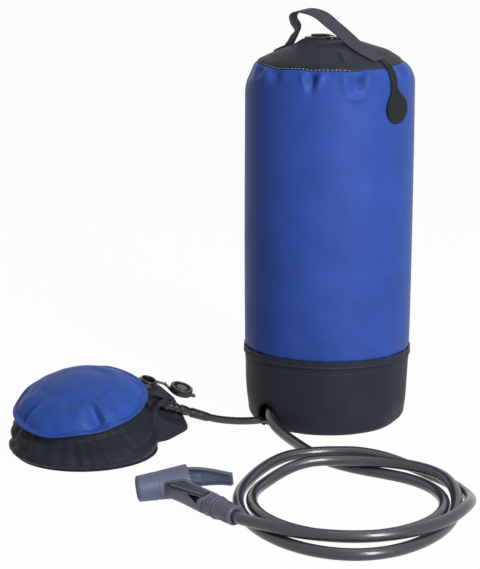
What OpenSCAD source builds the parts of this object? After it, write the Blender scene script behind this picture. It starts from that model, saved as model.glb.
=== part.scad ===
// Camp shower worked by a foot pump: water tank, pump, air hose, coiled water hose and spray handset.
// Millimetres. Z is up, the floor is Z 0 and the tank stands on the origin.

/* [Tank] */
// Outside radius of the water tank
tank_r = 100; // [94:1:106]
// Thickness of the coated tank cloth
tank_wall = 1.2; // [1:0.1:2]
// Height at which the shoulder starts to round in
shoulder_z = 409; // [385:1:430]
// Radius of the rounded shoulder
shoulder_r = 30; // [26:1:34]
// Slope of the top panel in degrees
top_slope = 24; // [20:1:27]
// Radius of the flat crown that carries the filler
crown_flat_r = 36; // [35:1:44]

/* [Base] */
// Height of the base under the tank
base_h = 92; // [88:1:100]
// Thickness of the base cloth
base_wall = 1.6; // [1.4:0.1:2.4]
// How far the base draws in towards its foot
base_taper = 4; // [2:0.5:5]
// Rounding at the foot of the base
base_corner_r = 12; // [8:1:14]
// Height of the hem band below the seam
hem_h = 8; // [6:0.5:12]
// Thickness of the hem band
hem_t = 1.2; // [0.8:0.1:2]
// Width of the hose cut-out
cutout_w = 37; // [36:1:42]
// Height of the hose cut-out
cutout_h = 34; // [32:1:40]
// Width of the binding round the cut-out
binding_w = 2.5; // [1.5:0.1:4]

/* [Filler] */
// Sideways place of the filler on the crown
filler_x = -11; // [-13:1:-8]
// Radius of the filler bore
filler_bore_r = 9; // [7:0.5:10]
// Height of the filler collar above the crown
filler_h = 8; // [6:0.5:10]
// Bearing of the open filler plug in degrees
filler_az = 25; // [10:5:40]

/* [Strap] */
// Width of the carry strap
strap_w = 24; // [18:1:26]
// Thickness of the carry strap
strap_t = 1.8; // [1.2:0.1:2.4]
// Width of the hanging tab's neck
tab_neck_w = 11; // [10:1:18]
// Radius of the hanging tab's pad
tab_pad_r = 17; // [12:1:20]

/* [Pump] */
// Radius of the pump's base panel
pump_r = 88; // [84:1:92]
// Thickness of the pump's base panel
panel_t = 2.5; // [2:0.1:4]
// Radius of the cushion's welded rim
cushion_r = 77; // [72:1:79]
// Height of the middle of the cushion's rim
cushion_z = 57; // [55:1:62]
// Crown of the cushion above its rim
cushion_crown = 27; // [20:1:32]
// Forward tilt of the cushion in degrees
cushion_tilt = 14; // [8:1:16]
// Reach of the tongue from the middle of the pump
tongue_reach = 110; // [106:1:120]
// Half width of the tongue
tongue_half_w = 26; // [24:1:30]
// Radius of the pump valve's bore
valve_bore_r = 7.5; // [6:0.5:8.5]
// Height of the pump valve's collar
valve_h = 9; // [8:0.5:11]

/* [Hoses] */
// Outside diameter of the water hose
water_hose_d = 12; // [10:0.5:12]
// Outside diameter of the air hose
air_hose_d = 9; // [8:0.5:9.5]

/* [Handset] */
// Radius of the spray head at its face
head_r = 13.5; // [12.5:0.5:14.5]
// Radius of the spray head at its back
head_back_r = 16.5; // [15.5:0.5:17.5]
// Length of the handle from the head to the coupling
handle_len = 70; // [66:1:74]
// Width of the squeeze lever
lever_w = 14; // [12:1:18]
// Radius of the lever's pin
pin_r = 1.95; // [1.6:0.05:2.2]
// Radius of the coupling nut
nut_r = 11.5; // [11:0.5:12.5]

/* [Hidden] */
$fn = 72;
gap = 0.4;
fit = 0.08;

// Shoulder and dome of the tank
seam_a = 90 - top_slope;
bend_r = tank_r - shoulder_r;
seam_r = bend_r + shoulder_r * cos(seam_a);
seam_z = shoulder_z + shoulder_r * sin(seam_a);
crown_z = seam_z + (seam_r - crown_flat_r) * tan(top_slope);
function dome_z(r) = r < crown_flat_r ? crown_z : seam_z + (seam_r - r) * tan(top_slope);
function on_dome(r, az, up) = [r * cos(az), r * sin(az), dome_z(r) + up];
function arc_pts(cx, cy, r, a, b, n) =
  [for (i = [0:n]) let (q = a + (b - a) * i / n) [cx + r * cos(q), cy + r * sin(q)]];

// Base
foot_r = tank_r - base_taper;
floor_r = foot_r - base_corner_r;
tank_floor_z = base_h + 2;
cutout_az = -140.5;

// Filler
filler_collar_r = filler_bore_r + 2.5;
filler_flange_r = filler_collar_r + 6;
filler_hinge_d = (filler_flange_r + filler_collar_r + 1.7) / 2;
filler_hinge_z = (filler_h + 3) / 2;
brim_t = 2;

// Strap
foot_right_az = -55;
foot_left_az = 153;
foot_right_r = seam_r - 34;
foot_left_r = seam_r - 29;
swing_a = on_dome(foot_left_r, foot_left_az, 2.2);
swing_b = on_dome(foot_right_r, foot_right_az, 2.2);
swing_cut_r = strap_w / 2 + 1.5;
tab_az = -47;
tab_hinge_z = shoulder_z + 1;
tab_hinge_r = tank_r + 1.6;

// Pump
pump_x = -281;
pump_y = -140;
tongue_az = 27;
cushion_x = pump_x - 7;
rim_t = 2;
valve_x = 85.5;
valve_y = 21.5;
valve_z = 63;
valve_turn = [10, 18, -23];
valve_collar_r = valve_bore_r + 2.2;
valve_flange_r = valve_collar_r + 3.3;
valve_brim_r = valve_collar_r + 3.8;
valve_hinge_d = 20;
valve_hinge_z = (valve_h + 3) / 2;
conn_x = 94.5;
conn_y = -11;
conn_z = 43.5;
conn_pitch = 22;
conn_len = 33;
conn_r = 6.5;
relief_len = 25;

// Hoses
wr = water_hose_d / 2;
ar = air_hose_d / 2;
outlet_xy = [-50, 8];
inlet_xy = [10, 30];
stem_end_z = base_h - 24;

// Handset: local X runs to its back, local Y away from the handle, local Z across it
gun_at = [-180.4, -310.4, 17.3];
gun_turn = [3.4, -5.8, 12.25];
handle_tilt = 24.8;
head_front_x = -31.5;
head_back_x = 14;
pivot_x = 19;
pivot_y = 9;
nut_len = 18;
collar_len = 30;
spigot_r = 8;
hose_seat = handle_len + nut_len + 13;

function rx(a, p) = [p[0], p[1] * cos(a) - p[2] * sin(a), p[1] * sin(a) + p[2] * cos(a)];
function ry(a, p) = [p[0] * cos(a) + p[2] * sin(a), p[1], p[2] * cos(a) - p[0] * sin(a)];
function rz(a, p) = [p[0] * cos(a) - p[1] * sin(a), p[0] * sin(a) + p[1] * cos(a), p[2]];
function pump_point(p) = rz(tongue_az, p) + [pump_x, pump_y, 0];
function valve_way(p) = rz(tongue_az, rz(valve_turn[2], ry(valve_turn[1], rx(valve_turn[0], p))));
function conn_point(s) = pump_point([conn_x + s * cos(conn_pitch), conn_y, conn_z - s * sin(conn_pitch)]);
function gun_point(p) = gun_at + rz(gun_turn[2], ry(gun_turn[1], rx(gun_turn[0], p)));
function handle_point(s) = gun_point([s * sin(handle_tilt), -s * cos(handle_tilt), 0]);

// A smooth line through chosen points, and the tube that follows a line
function spline_at(p, i, t) =
  let (a = p[max(i - 1, 0)], b = p[i], c = p[i + 1], d = p[min(i + 2, len(p) - 1)])
  b + 0.5 * t * (c - a)
    + t * t * (a - 2.5 * b + 2 * c - 0.5 * d)
    + t * t * t * (1.5 * b - 0.5 * a - 1.5 * c + 0.5 * d);
function spline(p, n) =
  concat([for (i = [0:len(p) - 2]) each [for (k = [0:n - 1]) spline_at(p, i, k / n)]], [p[len(p) - 1]]);
function unit(v) = v / norm(v);
function ahead(p, i) = unit(p[min(i + 1, len(p) - 1)] - p[max(i - 1, 0)]);
function square_to(v, t) = unit(v - (v * t) * t);
function headings(p, a, b) =
  [for (i = [0:len(p) - 1]) i == 0 ? unit(a) : i == len(p) - 1 ? unit(b) : ahead(p, i)];
function frames(h, v) =
  [for (i = 0, w = square_to(v, h[0]); i < len(h); i = i + 1, w = i < len(h) ? square_to(w, h[i]) : w) w];
function grid_faces(n, m) = concat(
  [[for (k = [0:m - 1]) k]],
  [[for (k = [m - 1:-1:0]) (n - 1) * m + k]],
  [for (i = [0:n - 2], k = [0:m - 1]) let (a = i * m, b = (i + 1) * m, q = (k + 1) % m)
    [a + k, b + k, b + q, a + q]]);

module tube(p, r, m, v, a, b) {
  h = headings(p, a, b);
  w = frames(h, v);
  pts = [for (i = [0:len(p) - 1]) let (u = cross(h[i], w[i]))
    for (k = [0:m - 1]) p[i] + r * (cos(360 * k / m) * w[i] + sin(360 * k / m) * u)];
  polyhedron(pts, grid_faces(len(p), m), convexity = 6);
}

module band(p, side, w, t) {
  pts = [for (i = [0:len(p) - 1]) let (s = square_to(side[i], ahead(p, i)), u = cross(ahead(p, i), s))
    for (k = [[-1, -1], [1, -1], [1, 1], [-1, 1]]) p[i] + k[0] * w / 2 * s + k[1] * t / 2 * u];
  polyhedron(pts, grid_faces(len(p), 4), convexity = 6);
}

// Routes of the hoses
air_points = concat(
  [conn_point(conn_len), conn_point(conn_len + 10), conn_point(conn_len + 22)],
  [[-130, -75.5, 17], [-112, -66, 12.5], [-96, -58, 10], [-80, -51, 9.5], [-60, -38, 11], [-38, -20, 11],
   [-17, -1, 15], [0, 17, 27], [9, 28, 45]],
  [[inlet_xy[0], inlet_xy[1], stem_end_z - 10], [inlet_xy[0], inlet_xy[1], stem_end_z]]);
lead_points = [
  [outlet_xy[0], outlet_xy[1], stem_end_z], [outlet_xy[0], outlet_xy[1], stem_end_z - 10],
  [-53, -3, 45], [-60, -22, 36], [-66, -44, 28], [-70, -63, 21], [-67, -81, 14], [-55, -105, wr + 2],
  [-40, -138, wr + 0.2], [-27, -168, wr + 0.2], [-13, -194, wr + 0.2], [2, -211, wr + 0.2],
  [19, -225, wr + 0.2], [36, -236, wr + 0.2]];

// The coil: ovals whose reach changes at each quarter turn, lifted where one strand lies over another
coil_mid = [2, -330];
reach_x = [101, 96, 113, 110, 127, 112];
reach_y = [96, 104, 94, 150, 124, 137, 137];
coil_start = 0.35;
coil_end = 10;
coil_steps = 50;
function ease(t) = let (c = max(0, min(1, t))) c * c * (3 - 2 * c);
function step_through(list, t) =
  let (i = max(0, min(len(list) - 2, floor(t)))) list[i] + (list[i + 1] - list[i]) * ease(t - i);
function lift(t) = (water_hose_d + 0.7) * max(
  ease((t - 3.3) / 0.55) * ease((5.4 - t) / 0.7),
  ease((t - 7.2) / 0.55) * ease((8.65 - t) / 0.55),
  ease((t - 8.85) / 0.45));
function coil_at(t) = [
  coil_mid[0] + step_through(reach_x, (t - 1) / 2) * sin(90 * t),
  coil_mid[1] + step_through(reach_y, t / 2) * cos(90 * t),
  wr + 0.2 + lift(t)];
coil_points = [for (i = [0:coil_steps]) coil_at(coil_start + (coil_end - coil_start) * i / coil_steps)];
tail_points = [coil_at(coil_end), [-28, -463, wr + 12.9], [-55, -453, wr + 12.9], [-77, -438, wr + 12.7],
  handle_point(hose_seat + 28), handle_point(hose_seat + 14), handle_point(hose_seat)];
lead_line = concat(lead_points, [coil_at(coil_start)]);
air_line = air_points;
tail_line = spline(tail_points, 2);
coil_in = coil_at(coil_start + 0.02) - coil_at(coil_start - 0.02);
coil_out = coil_at(coil_end) - coil_at(coil_end - 0.04);
handle_dir = handle_point(1) - handle_point(0);
conn_dir = conn_point(1) - conn_point(0);

// Least space between strands of the coil, more than a third of a turn apart along the hose
coil_fine = [for (i = [0:240]) coil_at(coil_start + (coil_end - coil_start) * i / 240)];
coil_space = min([for (i = [0:232], j = [i + 8:1:240]) norm(coil_fine[i] - coil_fine[j])
  + (j - i < 30 ? 1000 : 0)]) - water_hose_d;
lead_space = min([for (p = spline(lead_points, 4), q = coil_fine)
  norm(p - q) + (norm(q - coil_at(coil_start)) < 40 ? 1000 : 0)]) - water_hose_d;
tail_space = min([for (p = tail_line, q = coil_fine)
  norm(p - q) + (norm(q - coil_at(coil_end)) < 40 ? 1000 : 0)]) - water_hose_d;
echo(least_gap_between_coil_strands = coil_space, lead_to_coil = lead_space, tail_to_coil = tail_space);
echo(filler_hinge = [filler_x + filler_hinge_d * cos(filler_az), filler_hinge_d * sin(filler_az),
  crown_z + filler_hinge_z], crown_z = crown_z);
echo(valve_hinge = pump_point([valve_x, valve_y, valve_z]) + valve_way([valve_hinge_d, 0, valve_hinge_z]));
echo(valve_axis = valve_way([0, 0, 1]), valve_side = valve_way([0, 1, 0]),
  valve_at = pump_point([valve_x, valve_y, valve_z]));
echo(conn_axis = unit(conn_point(1) - conn_point(0)), conn_at = conn_point(0));
echo(lever_pivot = gun_point([pivot_x, pivot_y, 0]), gun_x = gun_point([1, 0, 0]) - gun_at,
  gun_y = gun_point([0, 1, 0]) - gun_at, gun_z = gun_point([0, 0, 1]) - gun_at);
echo(coupling_at = handle_point(handle_len + nut_len / 2),
  handle_axis = unit(handle_point(1) - handle_point(0)));
echo(swing_a = swing_a, swing_b = swing_b);
echo(tab_hinge = rz(tab_az, [tab_hinge_r, 0, tab_hinge_z]));

// Frames
module at_filler() translate([filler_x, 0, crown_z]) rotate([0, 0, filler_az]) children();
module at_pump() translate([pump_x, pump_y, 0]) rotate([0, 0, tongue_az]) children();
module at_valve() at_pump() translate([valve_x, valve_y, valve_z]) rotate(valve_turn) children();
module at_conn() at_pump() translate([conn_x, conn_y, conn_z]) rotate([0, conn_pitch, 0]) children();
module at_cushion() translate([cushion_x, pump_y, cushion_z]) rotate([cushion_tilt, -5.5, 0]) children();
module at_gun() translate(gun_at) rotate(gun_turn) children();
module at_handle() at_gun() rotate([0, 0, handle_tilt - 90]) children();
module along_x(x) translate([x, 0, 0]) rotate([0, 90, 0]) children();
module swing_rod(r) {
  d = swing_b - swing_a;
  translate(swing_a - 0.4 * d)
    rotate([0, acos(d[2] / norm(d)), atan2(d[1], d[0])]) cylinder(r = r, h = 1.8 * norm(d));
}

// Shared forms of the two stoppered valves
module neck(bore, collar, h, flange, sink) {
  difference() {
    union() {
      cylinder(r = flange, h = 1.8);
      translate([0, 0, -sink]) cylinder(r = collar, h = h + sink);
    }
    translate([0, 0, -sink - 1]) cylinder(r = bore, h = h + sink + 2);
  }
}

module stopper(bore, h, brim, d, z, deep, skirt) {
  lug_w = 7;
  difference() {
    union() {
      translate([0, 0, h + gap]) cylinder(r = brim, h = brim_t);
      if (skirt > 0) difference() {
        translate([0, 0, h + gap - skirt]) cylinder(r = brim - 0.5, h = skirt + 1);
        translate([0, 0, h - skirt - 1]) cylinder(r = brim - 3.3, h = skirt + 1 + gap);
        translate([0, -lug_w / 2, h - skirt - 1]) cube([brim + 1, lug_w, skirt + 1 + gap]);
      }
      translate([0, 0, h - deep]) cylinder(r1 = bore - 0.9, r2 = bore - 0.2, h = deep + gap + 1);
      translate([-brim - 5, -4, h + gap]) cube([7, 8, brim_t]);
      rotate([90, 0, 0]) translate([0, 0, -lug_w / 2]) linear_extrude(lug_w)
        polygon([[brim - 1.5, h + gap], [brim - 1.5, h + gap + brim_t], [brim, h + gap + brim_t],
          [d + 0.5, z + 0.5], [d - 0.7, z - 0.6], [brim - 0.3, h + gap]]);
    }
    translate([d, 0, z]) rotate([90, 0, 0]) cylinder(r = 1.5, h = 20, center = true);
  }
}

module tether(collar, d, z) {
  difference() {
    translate([0, -3, z - 1.1]) cube([d, 6, 1]);
    cylinder(r = collar, h = 3 * z);
  }
  translate([d, 0, z]) rotate([90, 0, 0]) cylinder(r = 1.1, h = 6, center = true);
}

module flipped(d, z) translate([d, 0, z]) rotate([0, 180, 0]) translate([-d, 0, -z]) children();

// Tank
module tank_sleeve() color("#1f57a4") rotate_extrude() polygon(concat(
  [[tank_r, base_h]],
  arc_pts(bend_r, shoulder_z, shoulder_r, 0, seam_a, 8),
  arc_pts(bend_r, shoulder_z, shoulder_r - tank_wall, seam_a, 0, 8),
  [[tank_r - tank_wall, base_h]]));

module top_panel() color("#1b1c20") difference() {
  rotate_extrude() polygon([
    [seam_r, seam_z], [crown_flat_r, crown_z], [0, crown_z], [0, crown_z - tank_wall],
    [crown_flat_r - tank_wall * tan(top_slope / 2), crown_z - tank_wall],
    [seam_r - tank_wall * cos(seam_a), seam_z - tank_wall * sin(seam_a)]]);
  translate([filler_x, 0, crown_z - 10]) cylinder(r = filler_collar_r, h = 20);
}

module tank_floor() color("#1f57a4") difference() {
  translate([0, 0, tank_floor_z]) cylinder(r = tank_r - tank_wall, h = tank_wall);
  translate([outlet_xy[0], outlet_xy[1], base_h]) cylinder(r = 8, h = 10);
  translate([inlet_xy[0], inlet_xy[1], base_h]) cylinder(r = 6.5, h = 10);
}

module cutout_form(grow) rotate([0, 0, cutout_az]) rotate([90, 0, 90]) linear_extrude(tank_r + 20)
  union() {
    translate([-cutout_w / 2 - grow, -5]) square([cutout_w + 2 * grow, cutout_h - cutout_w / 2 + 5]);
    translate([0, cutout_h - cutout_w / 2]) circle(r = cutout_w / 2 + grow);
  }

module base_form(inset) rotate_extrude() polygon(concat(
  [[0, inset], [floor_r, inset]],
  arc_pts(floor_r, base_corner_r, base_corner_r - inset, -90, 0, 6),
  [[tank_r - inset, base_h + 0.001 * inset], [0, base_h + 0.001 * inset]]));

module base_sleeve() color("#1d1e22") difference() {
  base_form(0);
  base_form(base_wall);
  translate([0, 0, -1]) cylinder(r = floor_r, h = base_wall + 2);
  cutout_form(binding_w);
}

module base_floor() color("#1d1e22") cylinder(r = floor_r, h = base_wall);

module base_hem() color("#24252a") difference() {
  translate([0, 0, base_h - hem_h]) cylinder(r = tank_r + hem_t, h = hem_h);
  base_form(0);
}

module cutout_binding() color("#101114") intersection() {
  difference() {
    cutout_form(binding_w);
    cutout_form(0);
  }
  difference() {
    union() {
      base_form(0);
      translate([0, 0, 2]) cylinder(r = foot_r + 1.2, h = cutout_h + 10);
    }
    base_form(base_wall);
  }
  translate([0, 0, 0.2]) difference() {
    cylinder(r = tank_r + 10, h = cutout_h + 10);
    translate([0, 0, -1]) cylinder(r = floor_r + 2, h = cutout_h + 20);
  }
}

module filler_neck() color("#17181b") translate([filler_x, 0, crown_z])
  neck(filler_bore_r, filler_collar_r, filler_h, filler_flange_r, 5);
module filler_plug() color("#17181b") at_filler() flipped(filler_hinge_d, filler_hinge_z)
  stopper(filler_bore_r, filler_h, filler_collar_r, filler_hinge_d, filler_hinge_z, 5, 0);
module filler_tether() color("#17181b") at_filler() tether(filler_collar_r, filler_hinge_d, filler_hinge_z);

// Carry strap and hanging tab
strap_points = [swing_a, [-41.5, 20.5, crown_z + 5.5], [-38.5, 15, crown_z + 14.5], [-41.8, 9, crown_z + 24.7],
  [-38.8, 3, crown_z + 31.4], [-26.3, -8, crown_z + 34.7], [-10.3, -19, crown_z + 30.7],
  [3.8, -26, crown_z + 19.2], [15.2, -32.2, crown_z + 8], swing_b];
strap_sides = [[0.42, 0.9, 0], [0.35, 0.93, 0], [0.3, 0.95, 0], [0.35, 0.93, 0.05], [0.5, 0.85, 0.1],
  [0.7, 0.65, 0.15], [0.7, 0.65, 0.15], [0.7, 0.65, 0.12], [0.7, 0.65, 0.1], [0.8, 0.6, 0]];
module strap_form() band(spline(strap_points, 3), spline(strap_sides, 3), strap_w, strap_t);

module carry_strap() color("#3b3d42") difference() {
  strap_form();
  swing_rod(swing_cut_r + gap);
}

module strap_foot(az, r, length) {
  rotate([0, 0, az]) translate([r - 1, 0, dome_z(r - 1) + 0.1]) rotate([0, top_slope, 0])
    translate([0, -strap_w / 2, 0.8]) cube([length, strap_w, strap_t]);
}
module foot_side(az) rotate([0, 0, az]) translate([20, -40, 0]) cube([200, 80, 900]);
module strap_foot_right() color("#3b3d42") {
  strap_foot(foot_right_az, foot_right_r, 33);
  intersection() {
    strap_form();
    swing_rod(swing_cut_r);
    foot_side(foot_right_az);
  }
}
module strap_foot_left() color("#3b3d42") {
  strap_foot(foot_left_az, foot_left_r, 22);
  intersection() {
    strap_form();
    swing_rod(swing_cut_r);
    foot_side(foot_left_az);
  }
}

tab_half_a = asin(tab_neck_w / 2 / tank_r);
module tab_root() color("#3b3d42") {
  rotate([0, 0, tab_az - tab_half_a]) rotate_extrude(angle = 2 * tab_half_a) polygon(concat(
    [[seam_r - 3 + 0.4 * sin(top_slope), seam_z + 3 * tan(top_slope) + 0.4 * cos(top_slope)]],
    arc_pts(bend_r, shoulder_z, shoulder_r + 0.4, seam_a, 0, 8),
    [[tank_r + 0.4, tab_hinge_z - 1.6], [tank_r + 2, tab_hinge_z - 1.6]],
    arc_pts(bend_r, shoulder_z, shoulder_r + 2, 0, seam_a, 8),
    [[seam_r - 3 + 2 * sin(top_slope), seam_z + 3 * tan(top_slope) + 2 * cos(top_slope)]]));
  at_tab() rotate([90, 0, 0]) cylinder(r = 1, h = tab_neck_w - 1, center = true);
}

module at_tab() rotate([0, 0, tab_az]) translate([tab_hinge_r, 0, tab_hinge_z - 2]) children();
module tab_pad() color("#3b3d42") at_tab() difference() {
  translate([-1, 0, 0]) rotate([90, 0, 90]) linear_extrude(2) rotate([0, 0, 12]) union() {
    translate([-tab_neck_w / 2, -12]) square([tab_neck_w, 12]);
    translate([0, -8 - tab_pad_r]) circle(r = tab_pad_r);
  }
  rotate([90, 0, 0]) cylinder(r = 1.4, h = 60, center = true);
  translate([-5, -30, -0.5]) cube([10, 60, 20]);
}

// Fittings between the tank and its base
module fitting(xy, r, bore, flange) translate([xy[0], xy[1], 0]) difference() {
  union() {
    translate([0, 0, stem_end_z]) cylinder(r = r, h = tank_floor_z + tank_wall + 3 - stem_end_z);
    translate([0, 0, tank_floor_z + tank_wall]) cylinder(r = flange, h = 3);
  }
  translate([0, 0, stem_end_z + 8]) cylinder(r = bore, h = 60);
}
module ring_on(xy, z, h, outer, inner) translate([xy[0], xy[1], z]) difference() {
  cylinder(r = outer, h = h);
  translate([0, 0, -1]) cylinder(r = inner, h = h + 2);
}
module hex_on(xy, z, h, outer, inner) translate([xy[0], xy[1], z]) difference() {
  cylinder(r = outer, h = h, $fn = 6);
  translate([0, 0, -1]) cylinder(r = inner, h = h + 2);
}
module outlet_fitting() color("#202124") fitting(outlet_xy, 8, 4, 16);
module outlet_gasket() color("#0e0e10") ring_on(outlet_xy, tank_floor_z - 1.5, 1.5, 14, 8);
module outlet_nut() color("#2a2b2f") hex_on(outlet_xy, tank_floor_z - 8.5, 7, 15, 8);
module outlet_ferrule() color("#8d9094") ring_on(outlet_xy, stem_end_z - 9, 9, wr + 2, wr + 0.3);
module inlet_fitting() color("#202124") fitting(inlet_xy, 6.5, 3, 13);
module inlet_gasket() color("#0e0e10") ring_on(inlet_xy, tank_floor_z - 1.5, 1.5, 11.5, 6.5);
module inlet_nut() color("#2a2b2f") hex_on(inlet_xy, tank_floor_z - 8.5, 7, 12.5, 6.5);
module inlet_ferrule() color("#8d9094") ring_on(inlet_xy, stem_end_z - 9, 9, ar + 2, ar + 0.3);
module inlet_disc() color("#0e0e10")
  translate([inlet_xy[0], inlet_xy[1], tank_floor_z + tank_wall + 3 + gap]) cylinder(r = 8, h = 1.2);

// Foot pump
module tongue_outline(inset) {
  circle(r = pump_r - inset);
  half = tongue_half_w - inset;
  translate([0, -half]) square([tongue_reach - tongue_half_w, 2 * half]);
  translate([tongue_reach - tongue_half_w, 0]) circle(r = half);
}
module pump_base() color("#1d1e22") at_pump() linear_extrude(panel_t) tongue_outline(0);

module wall_form(grow, low, high) hull() {
  translate([pump_x, pump_y, panel_t + low]) cylinder(r = pump_r - 4 + grow, h = 1, $fn = 48);
  translate([pump_x, pump_y, 18]) cylinder(r = pump_r - 1 + grow, h = 5, $fn = 48);
  at_cushion() translate([0, 0, -rim_t - 1 + high]) cylinder(r = cushion_r - 4 + grow, h = 0.6, $fn = 48);
}
module pump_wall() color("#1d1e22") difference() {
  wall_form(0, 0, 0);
  wall_form(-2, -2, 2);
  at_conn() along_x(-40) cylinder(r = conn_r, h = 60);
  valve_duct();
}
module valve_duct() at_pump() translate([55, valve_y, 34]) along_x(0) cylinder(r = 8, h = 28);

module hood_form() hull() {
  at_pump() translate([62, 0, panel_t]) cylinder(r = tongue_half_w - 3, h = 1, $fn = 32);
  at_pump() translate([82, 0, panel_t]) cylinder(r = tongue_half_w - 5, h = 1, $fn = 32);
  at_pump() translate([104, -4, 12]) cylinder(r = 20, h = 3, $fn = 32);
  at_valve() translate([0, 0, -1]) cylinder(r = valve_flange_r + 2, h = 1, $fn = 32);
  at_pump() translate([106, 3, 46]) cylinder(r = 5, h = 2, $fn = 32);
}
module pump_hood() color("#1d1e22") difference() {
  hood_form();
  wall_form(0.6, -2, 1);
  translate([cushion_x, pump_y, 0]) cylinder(r = cushion_r + 2, h = 200);
  at_valve() translate([0, 0, -30]) cylinder(r = valve_collar_r, h = 40);
  valve_duct();
  at_pump() translate([98, -8, 31]) rotate([0, 90, -10]) cylinder(r = 13, h = 60);
  at_conn() along_x(-8) cylinder(r = 12, h = 12);
  at_conn() along_x(3) cylinder(r = 9.8, h = 60);
  at_conn() along_x(-40) cylinder(r = conn_r, h = 60);
}

cushion_curve = [for (i = [0:9]) let (a = 90 * i / 9)
  [(cushion_r - 7) * cos(a), rim_t / 2 + cushion_crown * pow(sin(a), 1.15)]];
module pump_cushion() color("#2f62b8") at_cushion() rotate_extrude() polygon(concat(
  [[0, -rim_t], [cushion_r - 7, -rim_t], [cushion_r, -rim_t / 2], [cushion_r, rim_t / 2]], cushion_curve));

module pump_foam() color("#d8cf9a") difference() {
  translate([pump_x, pump_y, panel_t]) cylinder(r = cushion_r - 16, h = 70);
  at_cushion() translate([-150, -150, -rim_t - gap]) cube(300);
}

module valve_neck() color("#17181b") at_valve()
  neck(valve_bore_r, valve_collar_r, valve_h, valve_flange_r, 5);
module valve_plug() color("#17181b") at_valve() flipped(valve_hinge_d, valve_hinge_z)
  stopper(valve_bore_r, valve_h, valve_brim_r, valve_hinge_d, valve_hinge_z, 5, 6);
module valve_tether() color("#17181b") at_valve() tether(valve_collar_r, valve_hinge_d, valve_hinge_z);
module intake_flap() color("#0e0e10") at_valve()
  translate([0, 0, -6 - gap]) cylinder(r = valve_bore_r + 1.2, h = 1);

module pump_connector() color("#141518") at_conn() difference() {
  union() {
    along_x(-17) cylinder(r = conn_r, h = conn_len + 17);
    along_x(6) cylinder(r = 8.5, h = 3.5);
    along_x(13) cylinder(r = 8, h = 3);
    along_x(20) cylinder(r1 = 8, r2 = 7, h = 9);
  }
  along_x(-18) cylinder(r = 2.5, h = conn_len + 11);
  along_x(-3) cylinder(r = 4.8, h = 9);
}
module connector_ring() color("#141518") at_conn() difference() {
  along_x(-4) cylinder(r = 10.5, h = 5, $fn = 6);
  along_x(-5) cylinder(r = conn_r, h = 7);
}
module strain_relief() color("#141518") at_conn() difference() {
  union() {
    along_x(conn_len) cylinder(r1 = ar + 2, r2 = ar + 1.3, h = relief_len);
    for (i = [0:6]) along_x(conn_len + 2 + i * 3.2) cylinder(r = ar + 2.6 - i * 0.12, h = 1.7);
  }
  along_x(conn_len - 1) cylinder(r = ar + 0.25, h = relief_len + 2);
}
module outlet_flap() color("#0e0e10") at_conn() along_x(-3 + gap) cylinder(r = 4.2, h = 1);

// Hoses
module air_hose() color("#1a1b1e") tube(air_line, ar, 10, [0, 0, 1], conn_dir, [0, 0, 1]);
module water_hose_lead() color("#26272b") tube(lead_line, wr, 10, [1, 0, 0], [0, 0, -1], coil_in);
module water_hose_coil() color("#26272b") tube(coil_points, wr, 10, [0, 0, 1], coil_in, coil_out);
module water_hose_tail() color("#26272b") tube(tail_line, wr, 10, [0, 0, 1], coil_out, -handle_dir);

// Spray handset
module head_form() {
  along_x(head_front_x) cylinder(r = head_r, h = 5);
  along_x(head_front_x + 5) cylinder(r1 = head_r, r2 = head_back_r, h = head_back_x - head_front_x - 5);
}
module spray_head() color("#7d8a98") at_gun() difference() {
  union() {
    head_form();
    for (s = [-1, 1]) translate([head_back_x - 3, 2, s * 6.5 - 1.5]) cube([8, 12, 3]);
    for (s = [-1, 1]) translate([pivot_x, pivot_y, s * 6.5 - 1.5]) cylinder(r = 5, h = 3);
  }
  along_x(head_front_x - 1) cylinder(r = head_r - 2, h = 7.5);
  along_x(-22) cylinder(r = 6, h = 32);
  along_x(head_front_x) cylinder(r = 4.5, h = 20);
  along_x(0) cylinder(r = 2.4 + fit, h = 30);
  translate([pivot_x, pivot_y, -15]) cylinder(r = pin_r + 0.03, h = 30);
  rotate([0, 0, handle_tilt - 90]) along_x(3) cylinder(r = 4, h = 20);
}
module spray_face() color("#5d6873") at_gun() difference() {
  along_x(head_front_x + 2.5) cylinder(r = head_r - 2, h = 3);
  for (ring = [1:3], k = [0:6 * ring - 1]) rotate([360 * k / (6 * ring), 0, 0])
    translate([head_front_x, 2.6 * ring, 0]) along_x(0) cylinder(r = 0.7, h = 8, $fn = 16);
}
module face_ring() color("#6a7682") at_gun() difference() {
  along_x(head_front_x) cylinder(r = head_r - 2, h = 2.5);
  along_x(head_front_x - 1) cylinder(r = head_r - 3.6, h = 5);
}

module stadium(w, t) {
  square([w - t, t], center = true);
  for (s = [-1, 1]) translate([s * (w - t) / 2, 0]) circle(r = t / 2);
}
handle_w = 24;
handle_t = 18;
module gun_handle() color("#7d8a98") difference() {
  at_handle() union() {
    along_x(13) linear_extrude(handle_len - 13) rotate([0, 0, 90]) stadium(handle_w, handle_t);
    along_x(20) linear_extrude(handle_len - 22) translate([-handle_t / 2 - 0.5, 3.5]) square([3, 3]);
    along_x(handle_len) cylinder(r = spigot_r, h = 8);
  }
  at_gun() head_form();
  at_handle() along_x(0) cylinder(r = 4, h = handle_len + 20);
  at_handle() translate([22, -2, handle_t / 2 - 1.2]) cube([42, 4, 5]);
}
module handle_inlay() color("#2b3138") at_handle()
  translate([22, -2, handle_t / 2 - 1.2]) cube([42, 4, 1.2]);

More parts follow.
